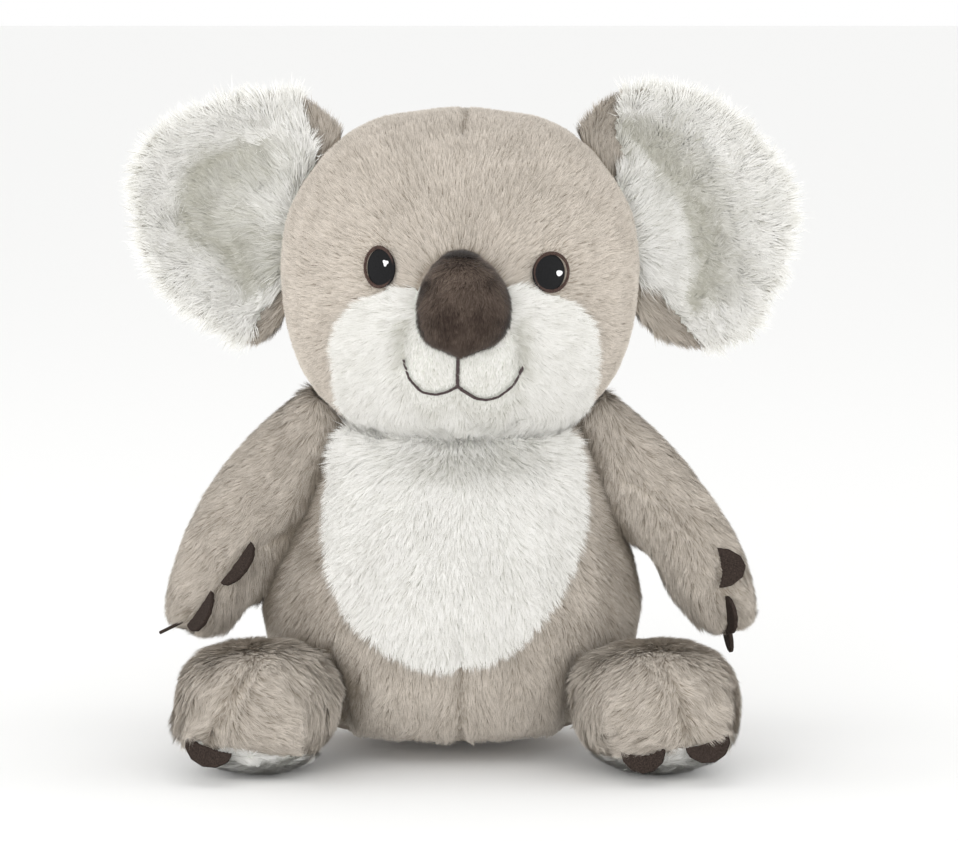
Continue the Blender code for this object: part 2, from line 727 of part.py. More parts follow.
def add_arm(side_name, side, nodes, cutters, paints, tools, hinge):
    arm = arm_form()
    body_outer, neck = tools["outer"], tools["neck"]

    def limb(grow, segments, rings):
        return mirrored(moved_sphere(arm, grow, segments, rings), side)

    inner = add("arm_inner_cutter_" + side_name, limb(-PLUSH_WALL, SMALL_SEGMENTS, SMALL_RINGS), cutters)
    outer = add("arm_outer_cutter_" + side_name, limb(GAP, LIMB_SEGMENTS, LIMB_RINGS), cutters)
    opening = add("shoulder_opening_" + side_name, shoulder_opening(side), cutters)
    skin = add("arm_skin_" + side_name, limb(0, LIMB_SEGMENTS, LIMB_RINGS), nodes, paints["greige"], hinge)
    cut(skin, inner, body_outer, neck, opening, tools["under_head"])
    filling = limb(-PLUSH_WALL - GAP, SMALL_SEGMENTS, SMALL_RINGS)
    filling = add("arm_filling_" + side_name, filling, nodes, paints["stuffing"], hinge)
    cut(filling, body_outer, neck, tools["under_head"])
    table = LEFT_PAW_SHARES if side > 0 else RIGHT_PAW_SHARES
    add_claws("paw_claw_" + side_name, side, arm, paw_rays(arm, table), outer, nodes, paints["felt"], hinge)


def shoulder_opening(side):
    """The shoulder seam's opening in the arm skin, a short box sunk into its flank side."""
    half = SHOULDER_SEAM_WIDTH / 2
    bm = block(
        (-ARM_THICK, SHOULDER_SEAM_Y - half, SHOULDER_SEAM_LOW),
        (SHOULDER_SEAM_DEPTH, SHOULDER_SEAM_Y + half, SHOULDER_SEAM_HIGH),
    )
    bmesh.ops.transform(bm, matrix=arm_place(), verts=bm.verts)
    return mirrored(bm, side)


def add_leg(side_name, side, nodes, cutters, paints, tools, hinge):
    leg = leg_form()

    def limb(grow, segments, rings):
        return mirrored(moved_sphere(leg, grow, segments, rings), side)

    inner = add("leg_inner_cutter_" + side_name, limb(-PLUSH_WALL, SMALL_SEGMENTS, SMALL_RINGS), cutters)
    outer = add("leg_outer_cutter_" + side_name, limb(GAP, LIMB_SEGMENTS, LIMB_RINGS), cutters)
    skin = add("leg_skin_" + side_name, limb(0, LIMB_SEGMENTS, LIMB_RINGS), nodes, paints["greige"], hinge)
    sole = add("sole_panel_" + side_name, limb(0, LIMB_SEGMENTS, LIMB_RINGS), nodes, paints["white"], hinge)
    high, low = sole_block(-GAP / 2, LEG_LENGTH), sole_block(-LEG_LENGTH, GAP / 2)
    above = add("sole_cutter_" + side_name, mirrored(high, side), cutters)
    below = add("upper_cutter_" + side_name, mirrored(low, side), cutters)
    cut(skin, inner, tools["outer"], below)
    cut(sole, inner, tools["outer"], above, tools["ground"])
    filling = limb(-PLUSH_WALL - GAP, SMALL_SEGMENTS, SMALL_RINGS)
    filling = add("leg_filling_" + side_name, filling, nodes, paints["stuffing"], hinge)
    cut(filling, tools["outer"])
    table = LEFT_SOLE_SHARES if side > 0 else RIGHT_SOLE_SHARES
    add_claws("foot_claw_" + side_name, side, leg, sole_rays(table), outer, nodes, paints["felt"], hinge)


def sole_block(low, high):
    """All that lies between two heights above the plane of the sole's seam."""
    reach = LEG_LENGTH
    bm = block((-reach, -reach, low), (reach, reach, high))
    roll = Matrix.Rotation(-SOLE_ROLL, 4, "Y")
    bmesh.ops.transform(bm, matrix=Matrix.Translation((LEG_X, LEG_Y, SOLE_Z)) @ roll, verts=bm.verts)
    return bm


def main():
    clear_scene()
    nodes = collection("Plush koala")
    cutters = collection("Cutters", hidden=True)
    paints = {
        "greige": material("greige_plush", (0.722, 0.671, 0.627), 0.95),
        "white": material("white_plush", (0.914, 0.918, 0.902), 0.95),
        "nose": material("brown_short_plush", (0.290, 0.231, 0.204), 0.9),
        "felt": material("brown_felt", (0.290, 0.259, 0.243), 0.95),
        "eye": material("eye_thread", (0.169, 0.169, 0.176), 0.5),
        "ring": material("eye_ring_thread", (0.420, 0.314, 0.282), 0.5),
        "glint": material("white_thread", (0.95, 0.95, 0.95), 0.5),
        "thread": material("mouth_thread", (0.290, 0.247, 0.247), 0.5),
        "stuffing": material("polyester_stuffing", (0.94, 0.94, 0.92), 0.95),
        "lining": material("cotton_lining", (0.85, 0.83, 0.78), 0.9),
    }
    root = joint_empty("koala", (0, 0, 0), nodes)
    tools = add_body(nodes, cutters, paints, root)
    neck_turn = joint_empty("neck_turn_axis", (0, 0, NECK_Z), nodes, root)
    neck_nod = joint_empty("neck_nod_axis", (0, 0, NECK_Z), nodes, neck_turn)
    add_neck(nodes, paints, neck_turn)
    head, head_outer = add_head(nodes, cutters, paints, tools["neck"], neck_nod)
    under_head = moved_sphere(head, ARM_HEAD_CLEARANCE, BODY_SEGMENTS, BODY_RINGS)
    tools["under_head"] = add("under_head_cutter", under_head, cutters)
    nose_outer = add_nose(nodes, cutters, paints, head_outer, neck_nod)
    add_eyes_and_mouth(nodes, cutters, paints, head, nose_outer, neck_nod)
    for side_name, side in SIDES.items():
        ear_hinge = (side * EAR_HINGE_X, EAR_HINGE_Y, EAR_HINGE_Z)
        ear_hinge = joint_empty("ear_hinge_" + side_name, ear_hinge, nodes, neck_nod)
        add_ear(side_name, side, nodes, cutters, paints, head_outer, ear_hinge)
        shoulder = (side * SHOULDER_X, SHOULDER_Y, SHOULDER_Z)
        shoulder = joint_empty("shoulder_" + side_name, shoulder, nodes, root)
        add_arm(side_name, side, nodes, cutters, paints, tools, shoulder)
        hip = joint_empty("hip_" + side_name, (side * LEG_X, HIP_Y, HIP_Z), nodes, root)
        add_leg(side_name, side, nodes, cutters, paints, tools, hip)


main()
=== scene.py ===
"""Looks of the seated plush koala: sewn covers, the pile that stands on them, embroidery and felt claws.

Metres, +Z up, the koala faces -Y. Left and right are the koala's own sides, so its left is +X.
"""

import math

import bmesh
import bpy
import numpy as np
from mathutils import Matrix, Vector
from mathutils.bvhtree import BVHTree


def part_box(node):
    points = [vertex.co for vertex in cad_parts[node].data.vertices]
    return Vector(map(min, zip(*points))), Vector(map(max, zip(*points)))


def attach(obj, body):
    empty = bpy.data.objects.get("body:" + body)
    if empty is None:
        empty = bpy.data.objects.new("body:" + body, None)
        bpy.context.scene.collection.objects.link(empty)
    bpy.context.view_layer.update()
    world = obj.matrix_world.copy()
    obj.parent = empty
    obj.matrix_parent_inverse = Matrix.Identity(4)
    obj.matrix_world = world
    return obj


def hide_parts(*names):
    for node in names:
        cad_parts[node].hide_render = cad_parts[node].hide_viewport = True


MM = 0.001
SIDES = {"left": 1, "right": -1}

# Covers under the pile
WELD = 0.01 * MM
COVER_QUAD = 2.6 * MM
LIMB_QUAD = 2.2 * MM
PANEL_LIFT = 0.3 * MM
PANEL_THICK = 0.8 * MM
HEAD_SINK = 2.2 * MM
BODY_SINK = 2.6 * MM
LIMB_SINK = 2.8 * MM
NECK_CLEARANCE = 0.7 * MM
SEAM_REACH = 4.0 * MM
ARM_REACH = 13 * MM
GROUND_CLEARANCE = 0.3 * MM

# How far from a neighbour the pile is darker, as little light comes down between them
CREASE_REACH = 11 * MM

# Seams and folds, as (x, z) places seen from the front
HEAD_SEAM = ((0.0039, 0.262), (0.0024, 0.2533), (0.0012, 0.2474))
CENTRE_SEAM = ((0, 0.0679), (0, 0.0391), (0, 0.002))
SIDE_SEAMS = (((-0.0515, 0.0478), (-0.0437, 0.0057)), ((0.0455, 0.0438), (0.0409, 0.0077)))
MUZZLE_CREASES = (
    ((-0.0205, 0.1765), (-0.0218, 0.169), (-0.0225, 0.1605)),
    ((0.0215, 0.1755), (0.0238, 0.168), (0.0248, 0.1575)),
)
ARM_SEAMS = {
    "right": ((-0.0602, 0.0976), (-0.0662, 0.0896), (-0.083, 0.0835), (-0.0955, 0.0666), (-0.108, 0.0485)),
    "left": ((0.065, 0.1109), (0.0758, 0.1061), (0.0866, 0.0944), (0.0994, 0.0823), (0.1043, 0.0666), (0.1072, 0.0469)),
}
FOOT_SEAMS = {
    "right": ((-0.0745, 0.0533), (-0.0841, 0.0412), (-0.0869, 0.0366), (-0.0966, 0.017)),
    "left": ((0.0733, 0.0514), (0.0772, 0.0467), (0.0838, 0.0366), (0.0877, 0.0194)),
}
EAR_FOLDS = {
    "right": (
        (-0.087, 0.237), (-0.097, 0.235), (-0.105, 0.2265), (-0.108, 0.214), (-0.1035, 0.2055), (-0.093, 0.2),
        (-0.083, 0.186),
    ),
    "left": (
        (0.067, 0.245), (0.0761, 0.2365), (0.0835, 0.2265), (0.0902, 0.2165), (0.0935, 0.2036),
        (0.0955, 0.1912), (0.0915, 0.1795),
    ),
}

# The side of each fold that stays in its shade
EAR_HOLLOWS = {
    "right": (*EAR_FOLDS["right"], (-0.07, 0.19), (-0.06, 0.21), (-0.06, 0.232), (-0.07, 0.243)),
    "left": (*EAR_FOLDS["left"], (0.115, 0.178), (0.125, 0.21), (0.112, 0.243), (0.086, 0.258)),
}

# The ears' outlines as measured, pile and all, as (x, z) places seen from the front
EAR_OUTLINES = {
    "right": (
        (-0.04, 0.245), (-0.045, 0.251), (-0.051, 0.257), (-0.057, 0.2615), (-0.063, 0.264), (-0.0734, 0.265),
        (-0.0827, 0.2634), (-0.0903, 0.2626), (-0.0991, 0.2606), (-0.1092, 0.2566), (-0.1184, 0.251),
        (-0.1265, 0.245), (-0.1298, 0.2386), (-0.1318, 0.2313), (-0.1331, 0.2229), (-0.1315, 0.2152), (-0.1304, 0.2072),
        (-0.13, 0.1995), (-0.1269, 0.1918), (-0.1221, 0.1862), (-0.1161, 0.1789), (-0.1105, 0.1733), (-0.0976, 0.1676),
        (-0.0845, 0.1585), (-0.0775, 0.159), (-0.069, 0.1655),
    ),
    "left": (
        (0.041, 0.245), (0.044, 0.25), (0.049, 0.257), (0.054, 0.2615), (0.059, 0.265), (0.0648, 0.2658),
        (0.0762, 0.2662), (0.0903, 0.2662), (0.0971, 0.2618), (0.1092, 0.2566), (0.1148, 0.2518),
        (0.1209, 0.2438), (0.1278, 0.2369), (0.1327, 0.2285), (0.1347, 0.2193), (0.135, 0.2116), (0.1329, 0.1985),
        (0.1297, 0.187), (0.1245, 0.1793), (0.119, 0.1668), (0.1092, 0.1615), (0.0985, 0.1575), (0.0859, 0.1575),
        (0.0783, 0.1607), (0.0737, 0.164),
    ),
}

# Where the greige back curls round the front of each ear, above and below
EAR_CURLS = {
    "right": (
        (
            (-0.0675, 0.274), (-0.0655, 0.26), (-0.063, 0.2576), (-0.0585, 0.2398), (-0.0575, 0.2342),
            (-0.044, 0.2295), (-0.03, 0.248), (-0.05, 0.274),
        ),
        (
            (-0.069, 0.186), (-0.073, 0.181), (-0.079, 0.1745), (-0.0825, 0.168), (-0.088, 0.1584),
            (-0.088, 0.148), (-0.05, 0.148), (-0.05, 0.1834),
        ),
    ),
    "left": (
        (
            (0.065, 0.274), (0.065, 0.2612), (0.0642, 0.2565), (0.062, 0.2453), (0.067, 0.2342),
            (0.069, 0.2309), (0.05, 0.2235), (0.03, 0.2436), (0.04, 0.274),
        ),
        (
            (0.0743, 0.1875), (0.0782, 0.1846), (0.0836, 0.1774), (0.0888, 0.1707), (0.0933, 0.165),
            (0.1012, 0.16), (0.1014, 0.148), (0.06, 0.148), (0.06, 0.1794),
        ),
    ),
}

# Ears
EAR_WIDTH = 88 * MM
EAR_HEIGHT = 107 * MM
EAR_Y = 10 * MM
EAR_TILT = math.radians(14)
EAR_RIM_PILE = 5.5 * MM
EAR_DISH = 14 * MM
EAR_FRONT = 8 * MM
EAR_CUP_SHARE = 0.1
EAR_FOLD_DEPTH = 6 * MM
EAR_RIM_SHARE = 0.85
EAR_BACK = 6 * MM
EAR_ROUNDNESS = 0.7
EAR_ROOT_LIFT = 1.0 * MM
EAR_SHADE_REACH = {"right": 40 * MM, "left": 24 * MM}

# Where the pile parts or whirls
NOSE_TIP = (0, -0.078, 0.182)
CHEST = (0, -0.05, 0.152)
EAR_ROOT_Z = 0.205

# The nose's width at each height from its middle, both as shares of half its own
NOSE_HEIGHTS = (-1.0, -0.92, -0.75, -0.6, -0.3, 0.0, 0.5, 0.8, 1.0)
NOSE_WIDTHS = (0.25, 0.75, 1.08, 1.11, 1.04, 0.99, 0.86, 0.74, 0.7)
NOSE_OFFSET = 1.4 * MM

# The way from which each kind of pile takes light through itself: plush glows at its edges, longer pile more
FRONT_GLOW = (0, -0.45, 0.1)
EAR_GLOW = (0, -0.9, 0.2)
SOLE_GLOW = (0, -3.0, 2.2)
NECK_GLOW = (0, -1.5, 0.3)
LIMB_GLOW = (0, -1.4, 0.4)

# Embroidery
THREAD = 0.42 * MM
MOUTH_LINES = (
    ((-0.0008, 0.1665), (-0.0009, 0.158), (-0.0009, 0.1525)),
    ((-0.0009, 0.1525), (-0.0047, 0.1505), (-0.0093, 0.1493), (-0.0142, 0.1502), (-0.0184, 0.1547), (-0.0202, 0.1612)),
    (
        (-0.0009, 0.1525), (0.001, 0.1512), (0.0062, 0.1478), (0.0101, 0.1471), (0.0143, 0.1482),
        (0.0193, 0.1521), (0.0229, 0.158),
    ),
)
MOUTH_WIDTH = 1.9 * MM
MOUTH_PROUD = 2.3 * MM
EYE_PROUD = 2.3 * MM
EYE_THICK = 1.3 * MM
RING_REACH = 1.75 * MM
RING_INSET = 0.7 * MM
MUZZLE_PADS = (((-0.0112, 0.162), (-0.0108, 0.159)), ((0.0112, 0.16), (0.0108, 0.157)))
PAD_HALF = (11.3 * MM, 17 * MM)
CHIN_TOP = 0.141


class Coat:
    """One cut of plush: how long, dense and unruly its pile is. Lengths in mm, density in hairs per square mm."""

    def __init__(
        self,
        length,
        density,
        lift=0.55,
        droop=0.12,
        width=0.3,
        tuft=2.0,
        gather=0.4,
        stray=0.16,
        mottle=0.06,
        # share of hairs darkened as painted shade of the gaps between tufts
        streaks=0.04,
        bent=False,
    ):
        self.length = length * MM
        self.density = density
        self.lift = lift
        self.droop = droop
        self.width = width * MM
        self.tuft = tuft * MM
        self.gather = gather
        self.stray = stray
        self.mottle = mottle
        self.streaks = streaks
        self.bent = bent


HEAD_COAT = Coat(5.2, 7.5, lift=0.55, width=0.26, tuft=1.6, gather=0.55, stray=0.18, mottle=0.07, streaks=0.1)
HEAD_BACK_COAT = Coat(5.2, 4.0, lift=0.5, width=0.34, tuft=1.8, gather=0.45, stray=0.16)
FACE_COAT = Coat(6.5, 8.0, lift=0.6, droop=0.2, width=0.27, tuft=2.0, gather=0.45, stray=0.2)
BODY_COAT = Coat(5.8, 6.5, lift=0.6, width=0.27, tuft=1.7, gather=0.55, stray=0.2, mottle=0.08, streaks=0.09)
BODY_BACK_COAT = Coat(6, 3.8, lift=0.55, width=0.36, tuft=1.8, gather=0.45, stray=0.18)
BELLY_COAT = Coat(6, 7.0, lift=0.55, width=0.27, tuft=1.8, gather=0.55, stray=0.24, mottle=0.06, streaks=0.05)
LIMB_COAT = Coat(7, 7.5, lift=0.6, width=0.27, tuft=2.0, gather=0.6, stray=0.24, mottle=0.1, streaks=0.13)
SOLE_COAT = Coat(5, 8.5, lift=0.8, width=0.27, tuft=1.4, gather=0.25, stray=0.25, mottle=0.04, streaks=0.03)
EAR_COAT = Coat(
    11, 5.0, lift=0.5, droop=0.15, tuft=2.6, gather=0.5, stray=0.34, mottle=0.1, streaks=0.06, bent=True
)
EAR_BACK_COAT = Coat(6.5, 4.5, lift=0.5, width=0.34, tuft=2.2, gather=0.45, stray=0.2)
NOSE_COAT = Coat(2.9, 17, lift=0.9, droop=0.5, width=0.2, tuft=1.0, gather=0.4, stray=0.3)
NECK_COAT = Coat(8, 5, lift=1.4, droop=0.8, gather=0.5, stray=0.3)
NECK_BACK_COAT = Coat(7, 4.5, lift=0.8, width=0.34, tuft=1.8, gather=0.45, stray=0.2)
NECK_SINK = 2.2 * MM
NECK_MIDDLE = 0.13
NECK_REACH = 18 * MM


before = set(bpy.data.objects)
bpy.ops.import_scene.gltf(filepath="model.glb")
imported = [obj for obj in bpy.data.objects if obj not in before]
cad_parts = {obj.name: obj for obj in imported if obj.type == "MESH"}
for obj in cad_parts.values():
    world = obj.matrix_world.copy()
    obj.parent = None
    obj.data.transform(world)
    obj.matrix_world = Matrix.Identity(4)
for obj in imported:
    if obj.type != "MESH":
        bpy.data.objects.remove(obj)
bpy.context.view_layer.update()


def unit(ways):
    return ways / np.maximum(np.linalg.norm(ways, axis=-1, keepdims=True), 1e-9)


def flattened(ways, normals):
    """The ways, turned to lie along the surface."""
    return unit(ways - normals * (ways * normals).sum(axis=1, keepdims=True))


def ripple(points, size, seed):
    """A smooth random field, about -1 to 1, with hills of about this size."""
    chance = np.random.default_rng(seed)
    total = np.zeros(len(points))
    for _ in range(7):
        way = unit(chance.normal(size=3))
        pitch = math.tau / size * chance.uniform(0.6, 1.5)
        total += np.sin(points @ way * pitch + chance.uniform(0, math.tau))
    return total / 3


def off_path(points, path):
    """How far each point lies, seen from the front, from a line through these (x, z) places."""
    seen = points[:, [0, 2]]
    nearest = np.full(len(seen), np.inf)
    for start, end in zip(path, path[1:]):
        start, run = np.array(start), np.array(end) - np.array(start)
        along = np.clip((seen - start) @ run / (run @ run), 0, 1)
        nearest = np.minimum(nearest, np.linalg.norm(seen - start - along[:, None] * run, axis=1))
    return nearest


def within(points, outline):
    """Which points lie, seen from the front, inside an outline of (x, z) places."""
    inside = np.zeros(len(points), bool)
    for (x_start, z_start), (x_end, z_end) in zip(outline, (*outline[1:], outline[0])):
        crosses = (points[:, 2] < z_start) != (points[:, 2] < z_end)
        rise = (z_end - z_start) or MM
        inside ^= crosses & (points[:, 0] < x_start + (points[:, 2] - z_start) * (x_end - x_start) / rise)
    return inside


def right_of_path(points, path):
    """Above zero on the +X side of a line of (x, z) places that runs down, in metres from it."""
    places = sorted(path, key=lambda place: place[1])
    line = np.interp(points[:, 2], [z for _, z in places], [x for x, _ in places])
    return points[:, 0] - line


def eased(values, start, end):
    """0 below start and 1 above end, with a smooth step between."""
    t = np.clip((values - start) / (end - start), 0, 1)
    return t * t * (3 - 2 * t)


def coordinates(vertices):
    return np.array([vertex.co for vertex in vertices], float).reshape(-1, 3)


# Materials


def linear(hex_colour):
    """An sRGB hex colour as the linear values that a shader takes."""
    parts = [int(hex_colour[i : i + 2], 16) / 255 for i in (1, 3, 5)]
    return tuple(c / 12.92 if c <= 0.04045 else ((c + 0.055) / 1.055) ** 2.4 for c in parts) + (1.0,)


def add_node(tree, kind, values=(), sources=(), **settings):
    """A node with these settings, input values and incoming links."""
    made = tree.nodes.new(kind)
    for key, value in settings.items():
        setattr(made, key, value)
    for socket, value in dict(values).items():
        made.inputs[socket].default_value = value
    for socket, source in dict(sources).items():
        tree.links.new(source, made.inputs[socket])
    return made


def blank_paint(name, **values):
    made = bpy.data.materials.new(name)
    made.use_nodes = True
    shader = made.node_tree.nodes["Principled BSDF"]
    for socket, value in values.items():
        shader.inputs[socket.replace("_", " ")].default_value = value
    return made, made.node_tree, shader


def pile_paint(name, dark, light, sheen):
    """Pile whose colour runs from root to tip, between that of the darkest and of the lightest hair. The darker roots
    are painted shade between the hairs, and the darkest hair's colour also serves as painted shade.
    """
    paint, tree, shader = blank_paint(
        name, Roughness=0.85, Specular_IOR_Level=0.15, Sheen_Weight=sheen, Sheen_Roughness=0.4
    )
    place = add_node(tree, "ShaderNodeUVMap", uv_map="OFBake")
    split = add_node(tree, "ShaderNodeSeparateXYZ", sources={"Vector": place.outputs["UV"]})
    ramps = []
    for colours in (dark, light):
        ramp = add_node(tree, "ShaderNodeValToRGB", sources={"Fac": split.outputs["Y"]})
        ramp.color_ramp.elements[1].position = 0.95
        ramp.color_ramp.elements.new(0.45)
        for stop, colour in zip(ramp.color_ramp.elements, colours):
            stop.color = linear(colour)
        ramps.append(ramp.outputs["Color"])
    sources = {"Fac": split.outputs["X"], "Color1": ramps[0], "Color2": ramps[1]}
    mixed = add_node(tree, "ShaderNodeMixRGB", sources=sources)
    tree.links.new(mixed.outputs["Color"], shader.inputs["Base Color"])
    return paint


def mottled_paint(name, dark, light, grain, depth, **values):
    """A matt cloth whose colour and surface vary in grains of this size."""
    paint, tree, shader = blank_paint(name, **values)
    place = add_node(tree, "ShaderNodeTexCoord")
    noise = add_node(
        tree,
        "ShaderNodeTexNoise",
        {"Scale": 1 / grain, "Detail": 4.0, "Roughness": 0.65},
        {"Vector": place.outputs["Object"]},
    )
    ramp = add_node(tree, "ShaderNodeValToRGB", sources={"Fac": noise.outputs["Fac"]})
    ramp.color_ramp.elements[0].position = 0.32
    ramp.color_ramp.elements[1].position = 0.68
    ramp.color_ramp.elements[0].color = linear(dark)
    ramp.color_ramp.elements[1].color = linear(light)
    bump = add_node(
        tree, "ShaderNodeBump", {"Strength": 0.8, "Distance": depth}, {"Height": noise.outputs["Fac"]}
    )
    tree.links.new(ramp.outputs["Color"], shader.inputs["Base Color"])
    tree.links.new(bump.outputs["Normal"], shader.inputs["Normal"])
    return paint


def thread_paint(name, dark, light, roughness):
    """Embroidery thread: a soft gloss, with fine plies that differ in shade."""
    return mottled_paint(name, dark, light, THREAD, 0.05 * MM, Roughness=roughness, Specular_IOR_Level=0.25)


# Polyester plush: painted shade between the roots and pale at the tips, so that it looks deep and soft and never shines
GREIGE_PILE = pile_paint(
    "greige_plush_pile", ("#665C50", "#7D7365", "#8D8376"), ("#ADA395", "#D1C8BC", "#E1D9CF"), 0.3
)
WHITE_PILE = pile_paint(
    "white_plush_pile", ("#908E80", "#ABA99C", "#BCBAAE"), ("#DEDCD6", "#EFEEEA", "#F6F5F2"), 0.3
)
NOSE_PILE = pile_paint(
    "brown_short_plush_pile", ("#241C19", "#332823", "#3C302A"), ("#4A3D35", "#75665B", "#A08F81"), 0.25
)

# The knitted backing that shows between the hairs
GREIGE_COVER = mottled_paint("greige_plush_backing", "#8D8276", "#A69B8E", 1.2 * MM, 0.2 * MM, Roughness=0.95)
WHITE_COVER = mottled_paint("white_plush_backing", "#C6C7BE", "#DADBD4", 1.2 * MM, 0.2 * MM, Roughness=0.95)
NOSE_COVER = mottled_paint("brown_plush_backing", "#2A201C", "#3A2E28", 1.0 * MM, 0.2 * MM, Roughness=0.95)

# Pressed felt: matt, with a fine grain and no thread
FELT = mottled_paint("brown_felt", "#1E1916", "#453B36", 0.45 * MM, 0.3 * MM, Roughness=1.0, Specular_IOR_Level=0.1)

# Embroidery thread: rows of fine stitches with a soft gloss along them
EYE_THREAD = thread_paint("eye_thread_black", "#060607", "#141416", 0.8)
RING_THREAD = thread_paint("ring_thread_brown", "#1F1613", "#5A443C", 0.55)
GLINT_THREAD = thread_paint("glint_thread_white", "#D9DADC", "#F6F6F7", 0.45)
MOUTH_THREAD = thread_paint("mouth_thread_brown", "#2F2728", "#5A4B4B", 0.5)


# Meshes


def linked(name, mesh):
    item = bpy.data.objects.new(name, mesh)
    bpy.context.scene.collection.objects.link(item)
    return item


def joined_copy(names):
    """One bmesh of copies of these CAD nodes, their loose triangles merged."""
    bm = bmesh.new()
    for name in names:
        bm.from_mesh(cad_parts[name].data)
    bmesh.ops.remove_doubles(bm, verts=bm.verts, dist=WELD)
    return bm


def evaluated(bm, prepare):
    """The bmesh after the modifiers that prepare gives its object."""
    mesh = bpy.data.meshes.new("draft")
    bm.to_mesh(mesh)
    bm.free()
    item = linked("draft", mesh)
    prepare(item)
    shown = item.evaluated_get(bpy.context.evaluated_depsgraph_get())
    made = bmesh.new()
    made.from_mesh(shown.to_mesh())
    shown.to_mesh_clear()
    bpy.data.objects.remove(item)
    bpy.data.meshes.remove(mesh)
    return made


def outer_shell(bm):
    """Keeps only the island that reaches furthest, which holds the others."""
    left, islands = set(bm.verts), []
    while left:
        island, edge = set(), [left.pop()]
        while edge:
            vertex = edge.pop()
            island.add(vertex)
            for link in vertex.link_edges:
                other = link.other_vert(vertex)
                if other in left:
                    left.remove(other)
                    edge.append(other)
        islands.append(island)
    widest = max(islands, key=lambda island: np.ptp([vertex.co.x for vertex in island]))
    bmesh.ops.delete(bm, geom=[vertex for vertex in bm.verts if vertex not in widest], context="VERTS")
    return outward(bm)


def even_quads(bm, size):
    def prepare(item):
        remesh = item.modifiers.new("even_quads", "REMESH")
        remesh.mode = "VOXEL"
        remesh.voxel_size = size

    return outer_shell(evaluated(bm, prepare))


def smoothed(bm, times):
    for _ in range(times):
        bmesh.ops.smooth_vert(bm, verts=bm.verts, factor=0.5, use_axis_x=True, use_axis_y=True, use_axis_z=True)
    bm.normal_update()
    return bm


def swollen(bm, heights):
    """Moves each vertex out along its normal by its own height, in metres."""
    bm.normal_update()
    moves = [vertex.normal * height for vertex, height in zip(bm.verts, heights)]
    for vertex, move in zip(bm.verts, moves):
        vertex.co += move
        vertex.co.z = max(vertex.co.z, GROUND_CLEARANCE)
    bm.normal_update()
    return bm


def pressed(bm, path, depth, width):
    """Presses a fold into what faces forward along a line, or raises a ridge if depth is negative."""
    points = coordinates(bm.verts)
    normals = np.array([vertex.normal for vertex in bm.verts])
    near = np.exp(-((off_path(points, path) / width) ** 2) / 2)
    return swollen(bm, -depth * near * eased(-normals[:, 1], 0.0, 0.5))


def stuffed(names, quad, sink, sewn_to=(), reach=SEAM_REACH):
    """The outer skin of these CAD nodes, drawn in to leave room for the pile, but not near what it is sewn to."""
    bm = smoothed(even_quads(joined_copy(names), quad), 4)
    heights = np.full(len(bm.verts), -sink)
    for tree in sewn_to:
        gaps = np.array([tree.find_nearest(vertex.co)[3] for vertex in bm.verts])
        heights *= eased(gaps, reach / 4, reach)
    return smoothed(swollen(bm, heights), 3)


def drawn_to(bm, tree, gap, most, chosen):
    """Fills folds: draws what is near another skin towards it, by so much at most, until this gap is left."""
    moves = []
    for vertex in bm.verts:
        near, _, _, off = tree.find_nearest(vertex.co)
        move = min(max(off - gap, 0), most) * (1 - float(eased(off, gap + most, gap + 2 * most)))
        moves.append((near - vertex.co).normalized() * move if chosen(vertex.co) else Vector())
    for vertex, move in zip(bm.verts, moves):
        vertex.co += move
    return smoothed(bm, 1)


def without(bm, cutter):
    """What is left of the bmesh outside the cutter."""

    def prepare(item):
        cut = item.modifiers.new("cut", "BOOLEAN")
        cut.operation = "DIFFERENCE"
        cut.solver = "EXACT"
        cut.object = cutter

    return outer_shell(evaluated(bm, prepare))


def neck_socket():
    """A ball a little larger than the neck, to cut its sockets with."""
    low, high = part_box("neck_filling")
    bm = bmesh.new()
    bmesh.ops.create_uvsphere(bm, u_segments=64, v_segments=32, radius=(high.x - low.x) / 2 + NECK_CLEARANCE)
    bmesh.ops.translate(bm, verts=bm.verts, vec=(low + high) / 2)
    mesh = bpy.data.meshes.new("neck_socket")
    bm.to_mesh(mesh)
    bm.free()
    return linked("neck_socket", mesh)


def outward(bm):
    """Turns a closed mesh's faces outwards."""
    bmesh.ops.recalc_face_normals(bm, faces=bm.faces)
    if bm.calc_volume(signed=True) < 0:
        bmesh.ops.reverse_faces(bm, faces=bm.faces)
    return bm


def finished(name, bm, body, paint, replaced=()):
    mesh = bpy.data.meshes.new(name)
    bm.to_mesh(mesh)
    bm.free()
    mesh.materials.append(paint)
    mesh.shade_smooth()
    piece = linked(name, mesh)
    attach(piece, body)
    if replaced:
        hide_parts(*replaced)
    return piece


def panel(name, cover, inside, body, replaced):
    """A white panel that lies on the cover, where inside says."""
    bm = bmesh.new()
    bm.from_mesh(cover.data)
    centres = np.array([face.calc_center_median() for face in bm.faces])
    normals = np.array([face.normal for face in bm.faces])
    away = [face for face, stays in zip(bm.faces, inside(centres, normals)) if not stays]
    bmesh.ops.delete(bm, geom=away, context="FACES")
    swollen(bm, np.full(len(bm.verts), PANEL_LIFT))
    piece = finished(name, bm, body, WHITE_COVER, replaced)
    thick = piece.modifiers.new("cloth", "SOLIDIFY")
    thick.thickness = PANEL_THICK
    thick.offset = 1
    return piece


# Pile


